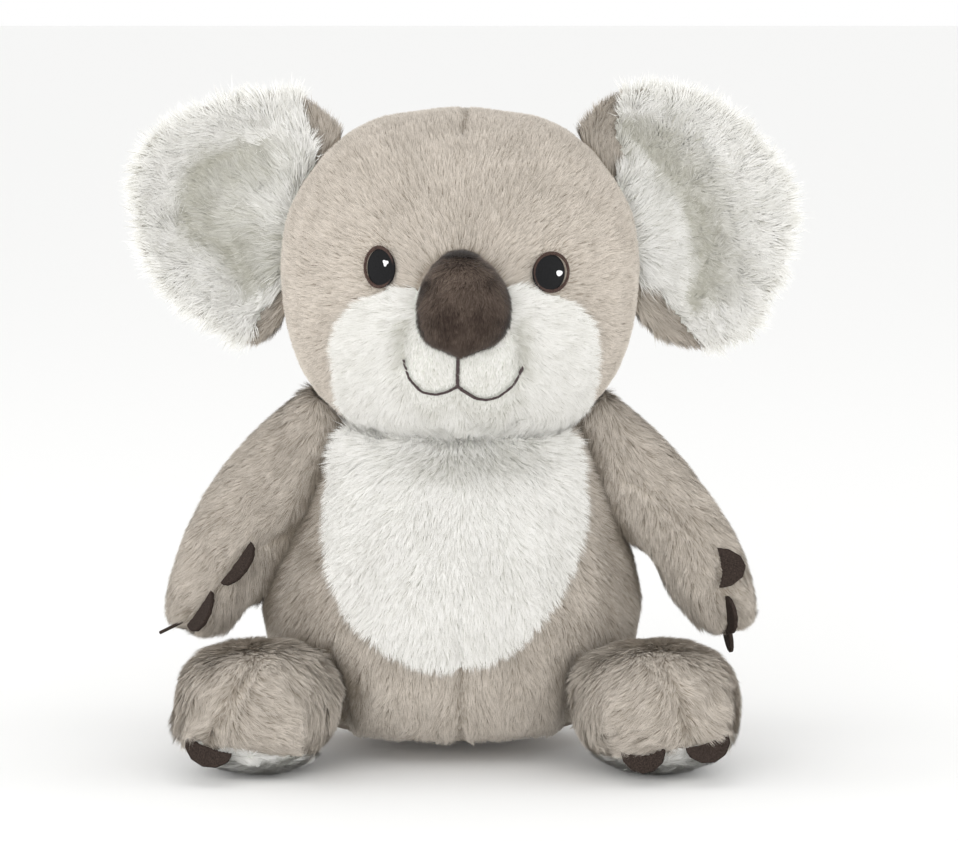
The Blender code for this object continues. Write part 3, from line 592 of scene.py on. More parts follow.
class Skin:
    """A cover's surface as arrays, for the pile to stand on."""

    def __init__(self, mesh):
        mesh.calc_loop_triangles()
        points = np.empty(len(mesh.vertices) * 3)
        mesh.vertices.foreach_get("co", points)
        normals = np.empty(len(mesh.vertices) * 3)
        mesh.vertices.foreach_get("normal", normals)
        corners = np.empty(len(mesh.loop_triangles) * 3, int)
        mesh.loop_triangles.foreach_get("vertices", corners)
        self.points = points.reshape(-1, 3)
        self.normals = normals.reshape(-1, 3)
        self.corners = corners.reshape(-1, 3)
        first, second, third = (self.points[self.corners[:, k]] for k in range(3))
        self.areas = np.linalg.norm(np.cross(second - first, third - first), axis=1) / 2

    def scatter(self, density, chance):
        """Roots spread evenly over the surface, so many per square metre, with the surface's normals there."""
        total = self.areas.sum()
        chosen = chance.choice(len(self.areas), int(total * density), p=self.areas / total)
        across, up = chance.random((2, len(chosen)))
        past = across + up > 1
        across[past], up[past] = 1 - across[past], 1 - up[past]
        shares = np.stack([1 - across - up, across, up], axis=1)[:, :, None]
        corners = self.corners[chosen]
        return (self.points[corners] * shares).sum(axis=1), unit((self.normals[corners] * shares).sum(axis=1))


def averaged(values, member, sizes):
    sums = [np.bincount(member, values[:, k], minlength=len(sizes)) for k in range(3)]
    return np.stack(sums, axis=1) / sizes[:, None]


def even(points):
    return np.ones(len(points))


def grown(roots, ways, normals, lengths, rises, coat):
    """The middle and the tip of hairs that rise from their roots and lie over along their ways."""
    rising = unit(ways + normals * coat.lift * rises[:, None])
    lying = unit(ways + normals * coat.droop * rises[:, None])
    middles = roots + rising * lengths[:, None] / 2
    return middles, middles + lying * lengths[:, None] / 2


def pile(
    name, skin, coat, comb, keep, trim, shade, body, paint, seed, lift=0.0, rise=even, glow=(0, 0, 0)
):
    """Hairs on part of a skin.

    comb gives the way they lie, keep where they stand, trim their share of the length, rise their share of the lift
    and shade how light they are, 0 to 1, painted shade and light included. glow is the way from which the pile takes
    light through itself.
    """
    chance = np.random.default_rng(seed)
    density = coat.density / MM**2 * 1
    roots, normals = skin.scatter(density, chance)
    stays = keep(roots, normals)
    roots, normals = roots[stays], normals[stays]
    count = len(roots)
    roots = roots + normals * lift
    lengths = coat.length * trim(roots) * chance.uniform(0.65, 1.12, count)
    lengths = lengths * np.where(chance.random(count) < FLYAWAYS, 1.4, 1)
    swirl = np.stack([ripple(roots, 14 * MM, seed + k) for k in range(3)], axis=1)
    ways = flattened(unit(comb(roots, normals)) + swirl * coat.stray, normals)

    warp = np.stack([ripple(roots, 5 * MM, seed + 10 + k) for k in range(3)], axis=1) * coat.tuft * 0.6
    cells = np.floor((roots + warp) / coat.tuft).astype(int)
    _, member = np.unique(cells, axis=0, return_inverse=True)
    member = member.reshape(-1)
    sizes = np.bincount(member)
    tufts = len(sizes)
    tuft_normals = unit(averaged(normals, member, sizes))
    tuft_ways = averaged(ways, member, sizes) + chance.normal(scale=coat.stray, size=(tufts, 3))
    tuft_ways = flattened(tuft_ways, tuft_normals)
    tuft_lengths = np.bincount(member, lengths) / sizes * chance.uniform(0.88, 1.15, tufts)
    tuft_shades = chance.normal(scale=coat.mottle, size=tufts)
    centres = averaged(roots, member, sizes)
    rises = rise(roots)
    tuft_rises = np.bincount(member, rises) / sizes
    tuft_middles, tuft_tips = grown(centres, tuft_ways, tuft_normals, tuft_lengths, tuft_rises, coat)

    own = flattened(ways + chance.normal(scale=coat.stray, size=(count, 3)), normals)
    middles, tips = grown(roots, own, normals, lengths, rises, coat)
    pull = coat.gather * chance.uniform(0.5, 1.2, count)[:, None]
    tips = tips + (tuft_tips[member] - tips) * pull
    middles = middles + (tuft_middles[member] - middles) * pull * 0.4
    middles[:, 2] = np.maximum(middles[:, 2], GROUND_CLEARANCE)
    tips[:, 2] = np.maximum(tips[:, 2], GROUND_CLEARANCE)

    twist = chance.normal(scale=0.3, size=count)[:, None]
    across = unit(np.cross(own, normals)) * np.cos(twist) + normals * np.sin(twist)
    half = across * coat.width / 2 * chance.uniform(0.75, 1.2, count)[:, None]
    bend = [middles - half * 0.85, middles + half * 0.85] if coat.bent else []
    points = np.stack([roots - half, roots + half, *bend, tips], axis=1)
    tints = shade(roots) + tuft_shades[member] + chance.normal(scale=HAIR_SHADES, size=count)
    # A share of the hairs is darkened as painted shade of the gaps between the tufts
    tints = np.clip(tints - GAP_SHADE_DEPTH * (chance.random(count) < coat.streaks), 0.02, 0.98)
    piece = hairs(name, points, tints, unit(normals + np.array(glow)), paint)
    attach(piece, body)
    return piece


FLYAWAYS = 0.02
HAIR_SHADES = 0.07
# How much darker those hairs are painted, as shade
GAP_SHADE_DEPTH = 0.6

# A hair's triangles, and its corners' heights and sides in the UV map
BENT_HAIR = (
    np.array([(0, 1, 3), (0, 3, 2), (2, 3, 4)]),
    np.array([0.02, 0.02, 0.5, 0.5, 0.98]),
    np.array([-1, 1, -1, 1, 0]),
)
STRAIGHT_HAIR = (np.array([(0, 1, 2)]), np.array([0.02, 0.02, 0.98]), np.array([-1, 1, 0]))
UV_HALF_WIDTH = 0.01
SOFTNESS = 0.76


def hairs(name, points, tints, normals, paint):
    """One mesh of flat tapering hairs, each with its shade across and its height up in the UV map."""
    count, corners = points.shape[:2]
    blade, heights, sides = STRAIGHT_HAIR if corners == 3 else BENT_HAIR
    faces = (np.arange(count)[:, None, None] * corners + blade).reshape(-1, 3)
    mesh = bpy.data.meshes.new(name)
    mesh.vertices.add(count * corners)
    mesh.vertices.foreach_set("co", points.reshape(-1))
    mesh.loops.add(faces.size)
    mesh.loops.foreach_set("vertex_index", faces.reshape(-1).astype(np.int32))
    mesh.polygons.add(len(faces))
    mesh.polygons.foreach_set("loop_start", np.arange(0, faces.size, 3, dtype=np.int32))
    mesh.update(calc_edges=True)
    places = np.empty((count, corners, 2))
    places[:, :, 0] = tints[:, None] + sides * UV_HALF_WIDTH
    places[:, :, 1] = heights
    uv = mesh.uv_layers.new(name="OFBake")
    uv.data.foreach_set("uv", places.reshape(-1, 2)[faces.reshape(-1)].reshape(-1))
    mesh.polygons.foreach_set("use_smooth", np.ones(len(faces), bool))
    flat = np.cross(points[:, 1] - points[:, 0], points[:, -1] - points[:, 0])
    shown = unit(unit(flat) * (1 - SOFTNESS) + normals * SOFTNESS)
    mesh.normals_split_custom_set_from_vertices(np.repeat(shown, corners, axis=0).tolist())
    mesh.materials.append(paint)
    return linked(name, mesh)


def everywhere(points, normals):
    return np.ones(len(points), bool)


def away_from(place):
    """A comb that lays the pile away from one place."""
    return lambda points, normals: points - np.array(place)


def clear_of(tree, gap):
    """Keeps what stands further than this from another skin."""

    def keep(points, normals):
        return np.array([tree.find_nearest(Vector(point), gap)[0] is None for point in points], bool)

    return keep


def closeness(points, trees, reach):
    """1 on the nearest of these skins, down to 0 at the reach."""
    near = np.zeros(len(points))
    for tree in trees:
        off = [tree.find_nearest(Vector(point), reach)[3] for point in points]
        near = np.maximum(near, 1 - eased(np.array([reach if gap is None else gap for gap in off]), 0, reach))
    return near


# Head


def tree_of(piece):
    bm = bmesh.new()
    bm.from_mesh(piece.data)
    tree = BVHTree.FromBMesh(bm)
    bm.free()
    return tree


socket = neck_socket()
head_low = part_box("head_skin")[0]
head_bm = stuffed(("head_skin", "face_panel", "head_filling", "neck_filling"), COVER_QUAD, HEAD_SINK)
head_bm = without(head_bm, socket)

# The top of the head is flatter than the stuffing alone would leave it, so its corners stand out
points = coordinates(head_bm.verts)
corner = eased(np.abs(points[:, 0]), 12 * MM, 36 * MM) * eased(points[:, 2], 0.226, 0.246)
swollen(head_bm, 2.8 * MM * corner)
pressed(head_bm, HEAD_SEAM, 2.0 * MM, 1.6 * MM)
for pad in MUZZLE_PADS:
    pressed(head_bm, pad, -3.2 * MM, 6.5 * MM)
for crease in MUZZLE_CREASES:
    pressed(head_bm, crease, 2.6 * MM, 2.4 * MM)
head_cover = finished("head_cover", head_bm, "head", GREIGE_COVER, ("head_skin", "head_filling"))
head_tree = tree_of(head_cover)
head_skin = Skin(head_cover.data)

face_low, face_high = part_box("face_panel")
FACE_WIDEST = 161 * MM
FACE_SQUARENESS = 2.7
FACE_ASIDE = 2.0 * MM
FACE_TAKEN_IN = 1.8 * MM

# How each eye is sewn: its shares of the width and the height, and how far it lies aside and up
EYE_SEWN = {"right": ((0.84, 0.96), (0.0029, 0.0008)), "left": ((1.0, 0.93), (0.001, -0.0012))}
GLINT_MOVES = {"right": (-0.0004, 0, 0), "left": (0.0018, 0, -0.0022)}


def eye_box(part, side_name):
    """The box of a part of an eye as it is sewn."""
    (wide, tall), (aside, up) = EYE_SEWN[side_name]
    middle = sum(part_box("eye_ring_" + side_name), Vector()) / 2
    shares, move = Vector((wide, 1, tall)), Vector((aside, 0, up))
    return [middle + (corner - middle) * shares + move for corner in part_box(part + side_name)]


def in_face(points, normals):
    """Where the head is white: an oval squared at its corners, seen from the front."""
    half = (face_high.x - face_low.x) / 2 - FACE_TAKEN_IN
    up = points[:, 2] - FACE_WIDEST
    height = np.where(up > 0, face_high.z - FACE_WIDEST, 62 * MM)
    reach = (np.abs(points[:, 0] - FACE_ASIDE) / half) ** FACE_SQUARENESS + (np.abs(up) / height) ** FACE_SQUARENESS
    return (reach < 1) & (points[:, 1] < head_low.y / 4)


panel("face_cover", head_cover, in_face, "head", ("face_panel",))
EYES = {side_name: eye_box("eye_ring_", side_name) for side_name in SIDES}
nose_low, nose_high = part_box("nose_cover")


def eye_distance(points):
    """How far outside the nearer eye's oval, seen from the front."""
    nearest = np.full(len(points), np.inf)
    for low, high in EYES.values():
        middle, half = (low + high) / 2, (high - low) / 2
        reach = np.hypot((points[:, 0] - middle.x) / half.x, (points[:, 2] - middle.z) / half.z)
        nearest = np.minimum(nearest, (reach - 1) * (half.x + half.z) / 2)
    return nearest


def mouth_distance(points):
    return np.min([off_path(points, line) for line in MOUTH_LINES], axis=0)


def nose_distance(points):
    middle, half = (nose_low + nose_high) / 2, (nose_high - nose_low) / 2
    reach = np.hypot((points[:, 0] - middle.x) / half.x, (points[:, 2] - middle.z) / half.z)
    return (reach - 1) * (half.x + half.z) / 2


def head_open(points, normals):
    """Not under the embroidery or the nose."""
    front = points[:, 1] < head_low.y / 3
    stitched = (eye_distance(points) < -0.5 * MM) | (mouth_distance(points) < 0.7 * MM)
    return ~(front & (stitched | (nose_distance(points) < -1.5 * MM)))


def pad_distance(points):
    """How far outside the muzzle's two pads, seen from the front."""
    nearest = np.full(len(points), np.inf)
    for (x_top, z_top), (x_low, z_low) in MUZZLE_PADS:
        middle = ((x_top + x_low) / 2, (z_top + z_low) / 2)
        reach = np.hypot((points[:, 0] - middle[0]) / PAD_HALF[0], (points[:, 2] - middle[1]) / PAD_HALF[1])
        nearest = np.minimum(nearest, (reach - 1) * sum(PAD_HALF) / 2)
    return nearest


def head_trim(points):
    """Shorter round the eyes and on the muzzle, longer under the chin, and parted along the seam at the top."""
    eyes = 0.3 + 0.7 * eased(eye_distance(points), -0.5 * MM, 6 * MM)
    pads = 0.3 + 0.7 * eased(pad_distance(points), 0, 6 * MM)
    mouth = pads * (0.6 + 0.4 * eased(mouth_distance(points), 0.5 * MM, 4 * MM))
    mouth = mouth * (1 + 0.9 * eased(CHIN_TOP - points[:, 2], 0, 12 * MM))
    seam = 0.45 + 0.55 * eased(off_path(points, HEAD_SEAM), 0, 3 * MM)
    return eyes * mouth * np.where(points[:, 1] < 0, seam, 1)


def face_comb(points, normals):
    """Out from the nose on the cheeks, and straight down on the pads."""
    ways = unit(head_comb(points, normals))
    chin = eased(CHIN_TOP - points[:, 2], -2 * MM, 8 * MM)[:, None]
    ways = ways * (1 - chin) + np.array((0.0, -0.6, -1.0)) * chin
    pads = 1 - eased(pad_distance(points), -2 * MM, 3 * MM)[:, None]
    return ways * (1 - pads) + np.array((0.0, 0.0, -1.0)) * pads


def face_shade(points):
    """White, with painted shade in the folds beside the pads and under the mouth."""
    creases = np.min([off_path(points, crease) for crease in MUZZLE_CREASES], axis=0)
    fold = 0.3 * (1 - eased(creases, 0, 4 * MM)) + 0.16 * (1 - eased(np.abs(pad_distance(points) - 2 * MM), 0, 4 * MM))
    return 0.82 + 0.04 * ripple(points, 25 * MM, 6) - fold


def head_shade(points):
    seam = eased(off_path(points, HEAD_SEAM), 0, 2 * MM)
    return 0.82 + 0.07 * ripple(points, 22 * MM, 5) - 0.3 * (1 - seam)


def chin_rise(points):
    return 1 + 0.5 * eased(CHIN_TOP - points[:, 2], 0, 12 * MM)


def head_part(front):
    def keep(points, normals):
        return ~in_face(points, normals) & head_open(points, normals) & ((points[:, 1] < -8 * MM) == front)

    return keep


def head_comb(points, normals):
    """Away from the nose, and down at the back."""
    ways = unit(points - np.array(NOSE_TIP))
    ways[:, 2] -= 1.3 * eased(points[:, 1], 0, 40 * MM)
    return ways


pile(
    "head_pile_front",
    head_skin,
    HEAD_COAT,
    head_comb,
    head_part(True),
    head_trim,
    head_shade,
    "head",
    GREIGE_PILE,
    21,
    glow=FRONT_GLOW,
)
pile(
    "head_pile_back",
    head_skin,
    HEAD_BACK_COAT,
    head_comb,
    head_part(False),
    even,
    head_shade,
    "head",
    GREIGE_PILE,
    22,
)
pile(
    "face_pile",
    head_skin,
    FACE_COAT,
    face_comb,
    lambda points, normals: in_face(points, normals) & head_open(points, normals),
    head_trim,
    face_shade,
    "head",
    WHITE_PILE,
    23,
    lift=PANEL_LIFT + PANEL_THICK,
    rise=chin_rise,
    glow=FRONT_GLOW,
)


# Nose

nose_bm = stuffed(("nose_cover", "nose_filling"), 1.2 * MM, 0.8 * MM)
nose_middle, nose_half = (nose_low + nose_high) / 2, (nose_high - nose_low) / 2
for vertex in nose_bm.verts:
    height = (vertex.co.z - nose_middle.z) / nose_half.z
    vertex.co.x = vertex.co.x * np.interp(height, NOSE_HEIGHTS, NOSE_WIDTHS) + NOSE_OFFSET * (1 - height**2)
nose_cover = finished("nose_backing", nose_bm, "head", NOSE_COVER, ("nose_cover", "nose_filling"))


def nose_shade(points):
    """Painted light from above and towards both sides, with a dark line where its upper edge is sewn on."""
    edge = eased(nose_distance(points), -1.6 * MM, 0) * eased(points[:, 2], 0.185, 0.192)
    side = eased(np.abs(points[:, 0] - 2 * MM), 0.008, 0.02)
    return 0.2 + 0.6 * eased(points[:, 2], 0.178, 0.202) + 0.2 * side + 0.08 * ripple(points, 9 * MM, 7) - 0.35 * edge


def nose_comb(points, normals):
    return np.tile((0.0, -0.3, -1.0), (len(points), 1))


pile(
    "nose_pile",
    Skin(nose_cover.data),
    NOSE_COAT,
    nose_comb,
    everywhere,
    even,
    nose_shade,
    "head",
    NOSE_PILE,
    24,
)


# Embroidery


def head_front(x, z):
    """Where the head's cover lies at this place seen from the front, and its normal."""
    return head_tree.ray_cast(Vector((x, -1, z)), Vector((0, 1, 0)))[:2]


def domed_oval(name, low, high, proud, thick, body, paint, replaced, uneven=0.0):
    """A padded oval of satin stitch that follows the head. uneven is by what share its edge wanders."""
    middle, half = (low + high) / 2, (high - low) / 2
    bm = bmesh.new()
    bmesh.ops.create_uvsphere(bm, u_segments=48, v_segments=24, radius=1)
    for vertex in bm.verts:
        x, y, z = vertex.co
        wander = 1 + uneven * math.sin(3 * math.atan2(z, x) + 0.6)
        at_x, at_z = middle.x + x * half.x * wander, middle.z + z * half.z * wander
        front = head_front(at_x, at_z)[0].y
        vertex.co = (at_x, front - proud + math.copysign(abs(y) ** 0.75, y) * thick, at_z)
    return finished(name, outward(bm), body, paint, replaced)


def satin(name, places, reach, thread, proud, body, paint, replaced=()):
    """Rows of stitches. Each place is (x, z, turn), and each stitch lies across the line at its turn."""
    bm = bmesh.new()
    for x, z, turn in places:
        at, normal = head_front(x, z)
        across = Vector((math.cos(turn), 0, math.sin(turn)))
        along = normal.cross(across).normalized()
        across = along.cross(normal)
        place = Matrix((across, along, normal)).transposed().to_4x4()
        place.translation = at + normal * proud
        stitch = bmesh.ops.create_uvsphere(bm, u_segments=8, v_segments=6, radius=1)
        bmesh.ops.scale(bm, vec=(reach / 2, thread * 0.62, thread * 0.8), verts=stitch["verts"])
        bmesh.ops.transform(bm, matrix=place, verts=stitch["verts"])
    return finished(name, bm, body, paint, replaced)


def line_stitches(line, slant, chance):
    """Places along a line of (x, z) places, a thread apart, each turned across it."""
    points = smooth_line(line)
    places = []
    for start, end in zip(points, points[1:]):
        run = end - start
        turn = math.atan2(run[1], run[0]) + slant + chance.normal(scale=0.08)
        places.append((*start, turn))
    return places


def smooth_line(line):
    """The curve through the places, cut into steps of one thread."""
    points = np.array(line)
    spans = np.concatenate([[0], np.cumsum(np.linalg.norm(np.diff(points, axis=0), axis=1))])
    fine = np.linspace(0, spans[-1], max(int(spans[-1] / THREAD), 2))
    dense = np.linspace(0, spans[-1], len(fine) * 4)
    rough = np.stack([np.interp(dense, spans, points[:, k]) for k in range(2)], axis=1)
    for _ in range(40):
        rough[1:-1] = (rough[:-2] + rough[2:]) / 2
    return np.stack([np.interp(fine, dense, rough[:, k]) for k in range(2)], axis=1)


GLINT_UNEVEN = {"right": 0.24, "left": 0.08}
chance = np.random.default_rng(3)
for side_name in SIDES:
    low, high = eye_box("eye_", side_name)
    grown_by = Vector((1.0 * MM, 0, 1.0 * MM))
    domed_oval(
        "eye_satin_" + side_name,
        low - grown_by,
        high + grown_by,
        EYE_PROUD,
        EYE_THICK,
        "head",
        EYE_THREAD,
        ("eye_" + side_name,),
    )
    low, high = EYES[side_name]
    middle, half = (low + high) / 2, (high - low) / 2
    count = int(math.pi * (half.x + half.z) / THREAD)
    ring = []
    for i in range(count):
        angle = math.tau * i / count
        x = middle.x + math.cos(angle) * (half.x - RING_INSET)
        z = middle.z + math.sin(angle) * (half.z - RING_INSET)
        ring.append((x, z, angle + 0.35 + chance.normal(scale=0.05)))
    satin(
        "eye_ring_satin_" + side_name,
        ring,
        RING_REACH,
        THREAD,
        EYE_PROUD + 0.3 * MM,
        "head",
        RING_THREAD,
        ("eye_ring_" + side_name,),
    )
    low, high = [corner + Vector(GLINT_MOVES[side_name]) for corner in eye_box("eye_glint_", side_name)]
    domed_oval(
        "eye_glint_satin_" + side_name,
        low.lerp(high, 0.16),
        high.lerp(low, 0.16),
        EYE_PROUD + 1.1 * MM,
        0.5 * MM,
        "head",
        GLINT_THREAD,
        ("eye_glint_" + side_name,),
        GLINT_UNEVEN[side_name],
    )
mouth = []
for line in MOUTH_LINES:
    mouth += line_stitches(line, math.radians(62), chance)
satin(
    "mouth_satin",
    mouth,
    MOUTH_WIDTH,
    THREAD,
    MOUTH_PROUD,
    "head",
    MOUTH_THREAD,
    ("mouth_stitching",),
)


# Body

BODY_LEAN = 3.4 * MM
LEAN_TOP = 104 * MM
LEAN_EASE = 44 * MM


def lean(z):
    """How far the body lies to the right at this height."""
    return BODY_LEAN * eased(np.asarray(LEAN_TOP - z), 0, LEAN_EASE)


def cad_tree(*names):
    bm = joined_copy(names)
    tree = BVHTree.FromBMesh(bm)
    bm.free()
    return tree


CAD_ARMS = [cad_tree("arm_skin_" + side_name) for side_name in SIDES]
CAD_LEGS = [cad_tree("leg_skin_" + side_name) for side_name in SIDES]
body_parts = ("body_skin", "belly_panel", "body_filling", "seat_pellet_bag", "neck_filling")
body_bm = stuffed(body_parts, COVER_QUAD, BODY_SINK, CAD_ARMS, ARM_REACH)
for vertex in body_bm.verts:
    vertex.co.x -= lean(vertex.co.z)
neck_low, neck_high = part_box("neck_filling")
neck_middle, neck_half = (neck_low + neck_high) / 2, (neck_high - neck_low).x / 2
NECK_MARGIN = 2 * MM
BODY_TO_HEAD = (1.9 * MM, 12 * MM)
CHEST_TOP = 0.095


def round_the_neck(at):
    return at.z > CHEST_TOP and (at - neck_middle).length > neck_half + NECK_MARGIN


drawn_to(body_bm, head_tree, *BODY_TO_HEAD, round_the_neck)
body_bm = without(body_bm, socket)
bpy.data.objects.remove(socket)
pressed(body_bm, CENTRE_SEAM, 2.0 * MM, 1.8 * MM)
for seam in SIDE_SEAMS:
    pressed(body_bm, seam, 2.5 * MM, 2.0 * MM)
body_cover = finished(
    "body_cover", body_bm, "koala_body", GREIGE_COVER, ("body_skin", "body_filling", "seat_pellet_bag")
)
body_tree = tree_of(body_cover)
body_skin = Skin(body_cover.data)
belly_low, belly_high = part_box("belly_panel")
BELLY_WIDEST = 99 * MM
BELLY_ASIDE = 1.8 * MM
BELLY_TAKEN_IN = 2.2 * MM


def in_belly(points, normals):
    half = (belly_high.x - belly_low.x) / 2
    up = points[:, 2] - BELLY_WIDEST
    height = np.where(up > 0, 60 * MM, BELLY_WIDEST - belly_low.z)
    across = (points[:, 0] + lean(points[:, 2]) + BELLY_ASIDE) / (half - BELLY_TAKEN_IN)
    return (across**2 + (up / height) ** 2 < 1) & (points[:, 1] < 0)


panel("belly_cover", body_cover, in_belly, "koala_body", ("belly_panel",))
body_comb = away_from(CHEST)


def body_trim(points):
    seams = np.min([off_path(points, seam) for seam in (*SIDE_SEAMS, CENTRE_SEAM)], axis=0)
    return np.where(points[:, 1] < 0, 0.45 + 0.55 * eased(seams, 0, 3.5 * MM), 1) * (1 + 0.3 * ruff(points))


def ruff(points):
    """1 at the top of the chest, where the pile stands up to the chin, and 0 lower down."""
    return eased(points[:, 2], 0.109, 0.123)


def belly_shade(points):
    """White, with a greenish grey shade where the chin keeps the light off."""
    chin = np.hypot((points[:, 0] - 6 * MM) / (36 * MM), (points[:, 2] - 0.121) / (9 * MM))
    return 0.9 + 0.04 * ripple(points, 28 * MM, 9) - 0.25 * (1 - eased(chin, 0.2, 1.2))


# Body pile tint: painted shade on the flanks under the arms and where the arms and legs lie close, painted light low
# down, and darker along the seams
def body_shade(points):
    seams = np.min([off_path(points, seam) for seam in (*SIDE_SEAMS, CENTRE_SEAM)], axis=0)
    parted = np.where(points[:, 1] < 0, 1 - eased(seams, 0, 2.2 * MM), 0)
    low = eased(45 * MM - points[:, 2], 0, 15 * MM)
    flank_shade = (1 - eased(points[:, 2], 0.095, 0.125)) * (1 - low) * eased(np.abs(points[:, 0]), 0.045, 0.06)
    crease = closeness(points, (*CAD_ARMS, *CAD_LEGS), CREASE_REACH)
    return 0.68 + 0.08 * ripple(points, 20 * MM, 8) - 0.3 * parted + 0.14 * low - 0.22 * flank_shade - 0.75 * crease


def body_part(front):
    def keep(points, normals):
        return ~in_belly(points, normals) & ((points[:, 1] < 0) == front) & (normals[:, 2] > -0.9)

    return keep


pile(
    "body_pile_front",
    body_skin,
    BODY_COAT,
    body_comb,
    body_part(True),
    body_trim,
    body_shade,
    "koala_body",
    GREIGE_PILE,
    31,
    glow=FRONT_GLOW,
)
pile(
    "body_pile_back",
    body_skin,
    BODY_BACK_COAT,
    body_comb,
    body_part(False),
    even,
    body_shade,
    "koala_body",
    GREIGE_PILE,
    32,
)
pile(
    "belly_pile",
    body_skin,
    BELLY_COAT,
    body_comb,
    in_belly,
    body_trim,
    belly_shade,
    "koala_body",
    WHITE_PILE,
    33,
    lift=PANEL_LIFT + PANEL_THICK,
    rise=lambda points: 1 + 2.5 * ruff(points),
    glow=FRONT_GLOW,
)

neck_bm = stuffed(("neck_filling",), COVER_QUAD, NECK_SINK)
neck_cover = finished("neck_cover", neck_bm, "neck", GREIGE_COVER, ("neck_filling",))
neck_skin = Skin(neck_cover.data)


def neck_part(front):
    def keep(points, normals):
        seen = points[:, 1] < -np.abs(points[:, 0]) * 0.2
        return (seen == front) & (np.abs(points[:, 2] - NECK_MIDDLE) < NECK_REACH)

    return keep


def down(points, normals):
    return np.tile((0.0, -0.2, -1.0), (len(points), 1))


pile(
    "neck_pile_front",
    neck_skin,
    NECK_COAT,
    down,
    neck_part(True),
    even,
    lambda points: np.full(len(points), 0.95),
    "neck",
    WHITE_PILE,
    34,
    glow=NECK_GLOW,
)
pile(
    "neck_pile_back",
    neck_skin,
    NECK_BACK_COAT,
    down,
    neck_part(False),
    even,
    lambda points: np.full(len(points), 0.66),
    "neck",
    GREIGE_PILE,
    35,
)


# Arms and legs


CAD_BODY = cad_tree("body_skin", "belly_panel")
CAD_HEAD = cad_tree("head_skin")


def signed(side, points):
    """The points as they would be on the left side."""
    return points * np.array([side, 1, 1])


def arm_comb(side):
    """Down the arm, and outwards past the seam that runs to the claws."""
    path = [(x * side, z) for x, z in ARM_SEAMS["left" if side > 0 else "right"]]

    def comb(points, normals):
        flat = signed(side, points)
        out = np.tanh(right_of_path(flat, path) / (6 * MM)) * 0.5 + 0.15
        ways = np.stack([0.38 + 0.9 * out, -0.15 + 0 * out, -0.92 + 0.38 * out], axis=1)
        return signed(side, ways)

    return comb


def leg_comb(side):
    """Away from the gathers at the top of the foot, and away from the seam to the claws."""
    path = [(x * side, z) for x, z in FOOT_SEAMS["left" if side > 0 else "right"]]
    crown = np.array((path[1][0], -60 * MM, path[0][1]))

    def comb(points, normals):
        flat = signed(side, points)
        ways = unit(flat - crown)
        part = np.tanh(right_of_path(flat, path) / (8 * MM)) * np.clip(-normals[:, 1], 0, 1)
        ways[:, 0] += 0.7 * part
        return signed(side, ways)

    return comb


def claw_distance(points, boxes):
    """How far from the box round the free lower part of the nearest claw."""
    nearest = np.full(len(points), np.inf)
    for low, high in boxes:
        high = Vector((high.x, high.y, low.z + (high.z - low.z) * 0.6))
        gaps = [np.maximum(np.maximum(low[k] - points[:, k], points[:, k] - high[k]), 0) for k in range(3)]
        nearest = np.minimum(nearest, np.linalg.norm(gaps, axis=0))
    return nearest


FRINGE_HEIGHT = 0.75
FRINGE_NEAR = 6 * MM
FRINGE_FAR = 12 * MM

# How each claw that shows is bent in use: shares of its length, width and thickness, the turn in the picture in
# degrees, the way its flat side faces or None to leave it, and how far it moves
CLAW_BENDS = {
    "paw_claw_right_1": ((1.25, 0.8, 1), 0, None, (0, 0, -0.002)),
    "paw_claw_right_2": ((1.1, 1.1, 1), 0, None, (0, -0.001, 0)),
    "paw_claw_right_3": ((0.9, 0.95, 0.75), 0, (0.44, -0.1, -0.87), (0.003, -0.002, 0)),
    "paw_claw_left_1": ((1.0, 1.1, 1), 0, None, (0, -0.002, 0)),
    "paw_claw_left_2": ((0.95, 0.9, 1), 0, (0.95, 0.3, 0.1), (-0.003, -0.002, 0.001)),
    "paw_claw_left_3": ((0.62, 0.8, 1), -18, None, (0.0005, 0, 0.0045)),
    "foot_claw_right_1": ((1.3, 1.05, 1), -12, None, (0, -0.001, -0.002)),
    "foot_claw_right_2": ((0.8, 0.8, 1), 0, None, (0.001, 0, 0.0045)),
    "foot_claw_right_3": ((0.8, 0.8, 1), 0, None, (0.0025, 0, 0)),
    "foot_claw_left_1": ((1.05, 1, 1), 0, None, (0, -0.001, 0)),
    "foot_claw_left_2": ((1.2, 1.1, 1), 15, None, (0, -0.001, 0)),
    "foot_claw_left_3": ((0.8, 0.8, 1), 0, None, (-0.0045, 0, 0.003)),
}


def bent(bm, shares, turn, facing, move):
    """The claw stretched along its own sides, turned and moved."""
    points = coordinates(bm.verts)
    middle = points.mean(axis=0)
    sides = np.linalg.svd(points - middle, full_matrices=False)[2]
    points = (points - middle) @ sides.T * np.array(shares) @ sides
    spin = Matrix.Rotation(math.radians(-turn), 3, "Y")
    if facing:
        flat = Vector(sides[2])
        aim = Vector(facing).normalized()
        spin = (flat if flat.dot(aim) > 0 else -flat).rotation_difference(aim).to_matrix()
    points = points @ np.array(spin).T + middle + np.array(move)
    for vertex, point in zip(bm.verts, points):
        vertex.co = point
    return bm


def claw(name, body):
    """A felt claw, its edges worn round."""
    bm = bent(smoothed(even_quads(joined_copy((name,)), 0.45 * MM), 2), *CLAW_BENDS[name])
    finished(name.replace("claw", "claw_felt"), bm, body, FELT, (name,))


def limb_shade(level, seam, crease_shade_depth):
    # Painted light round the top of the seam, painted shade where the limb lies close to the body, and darker along the
    # seam
    def shade(points):
        parted = np.where(points[:, 1] < 0, 1 - eased(off_path(points, seam), 0, 1.6 * MM), 0)
        crown = 1 - eased(np.hypot(points[:, 0] - seam[0][0], points[:, 2] - seam[0][1]), 0, 22 * MM)
        crease = closeness(points, [body_tree], CREASE_REACH)
        return level + 0.05 * ripple(points, 18 * MM, 12) - 0.2 * parted + 0.12 * crown - crease_shade_depth * crease

    return shade


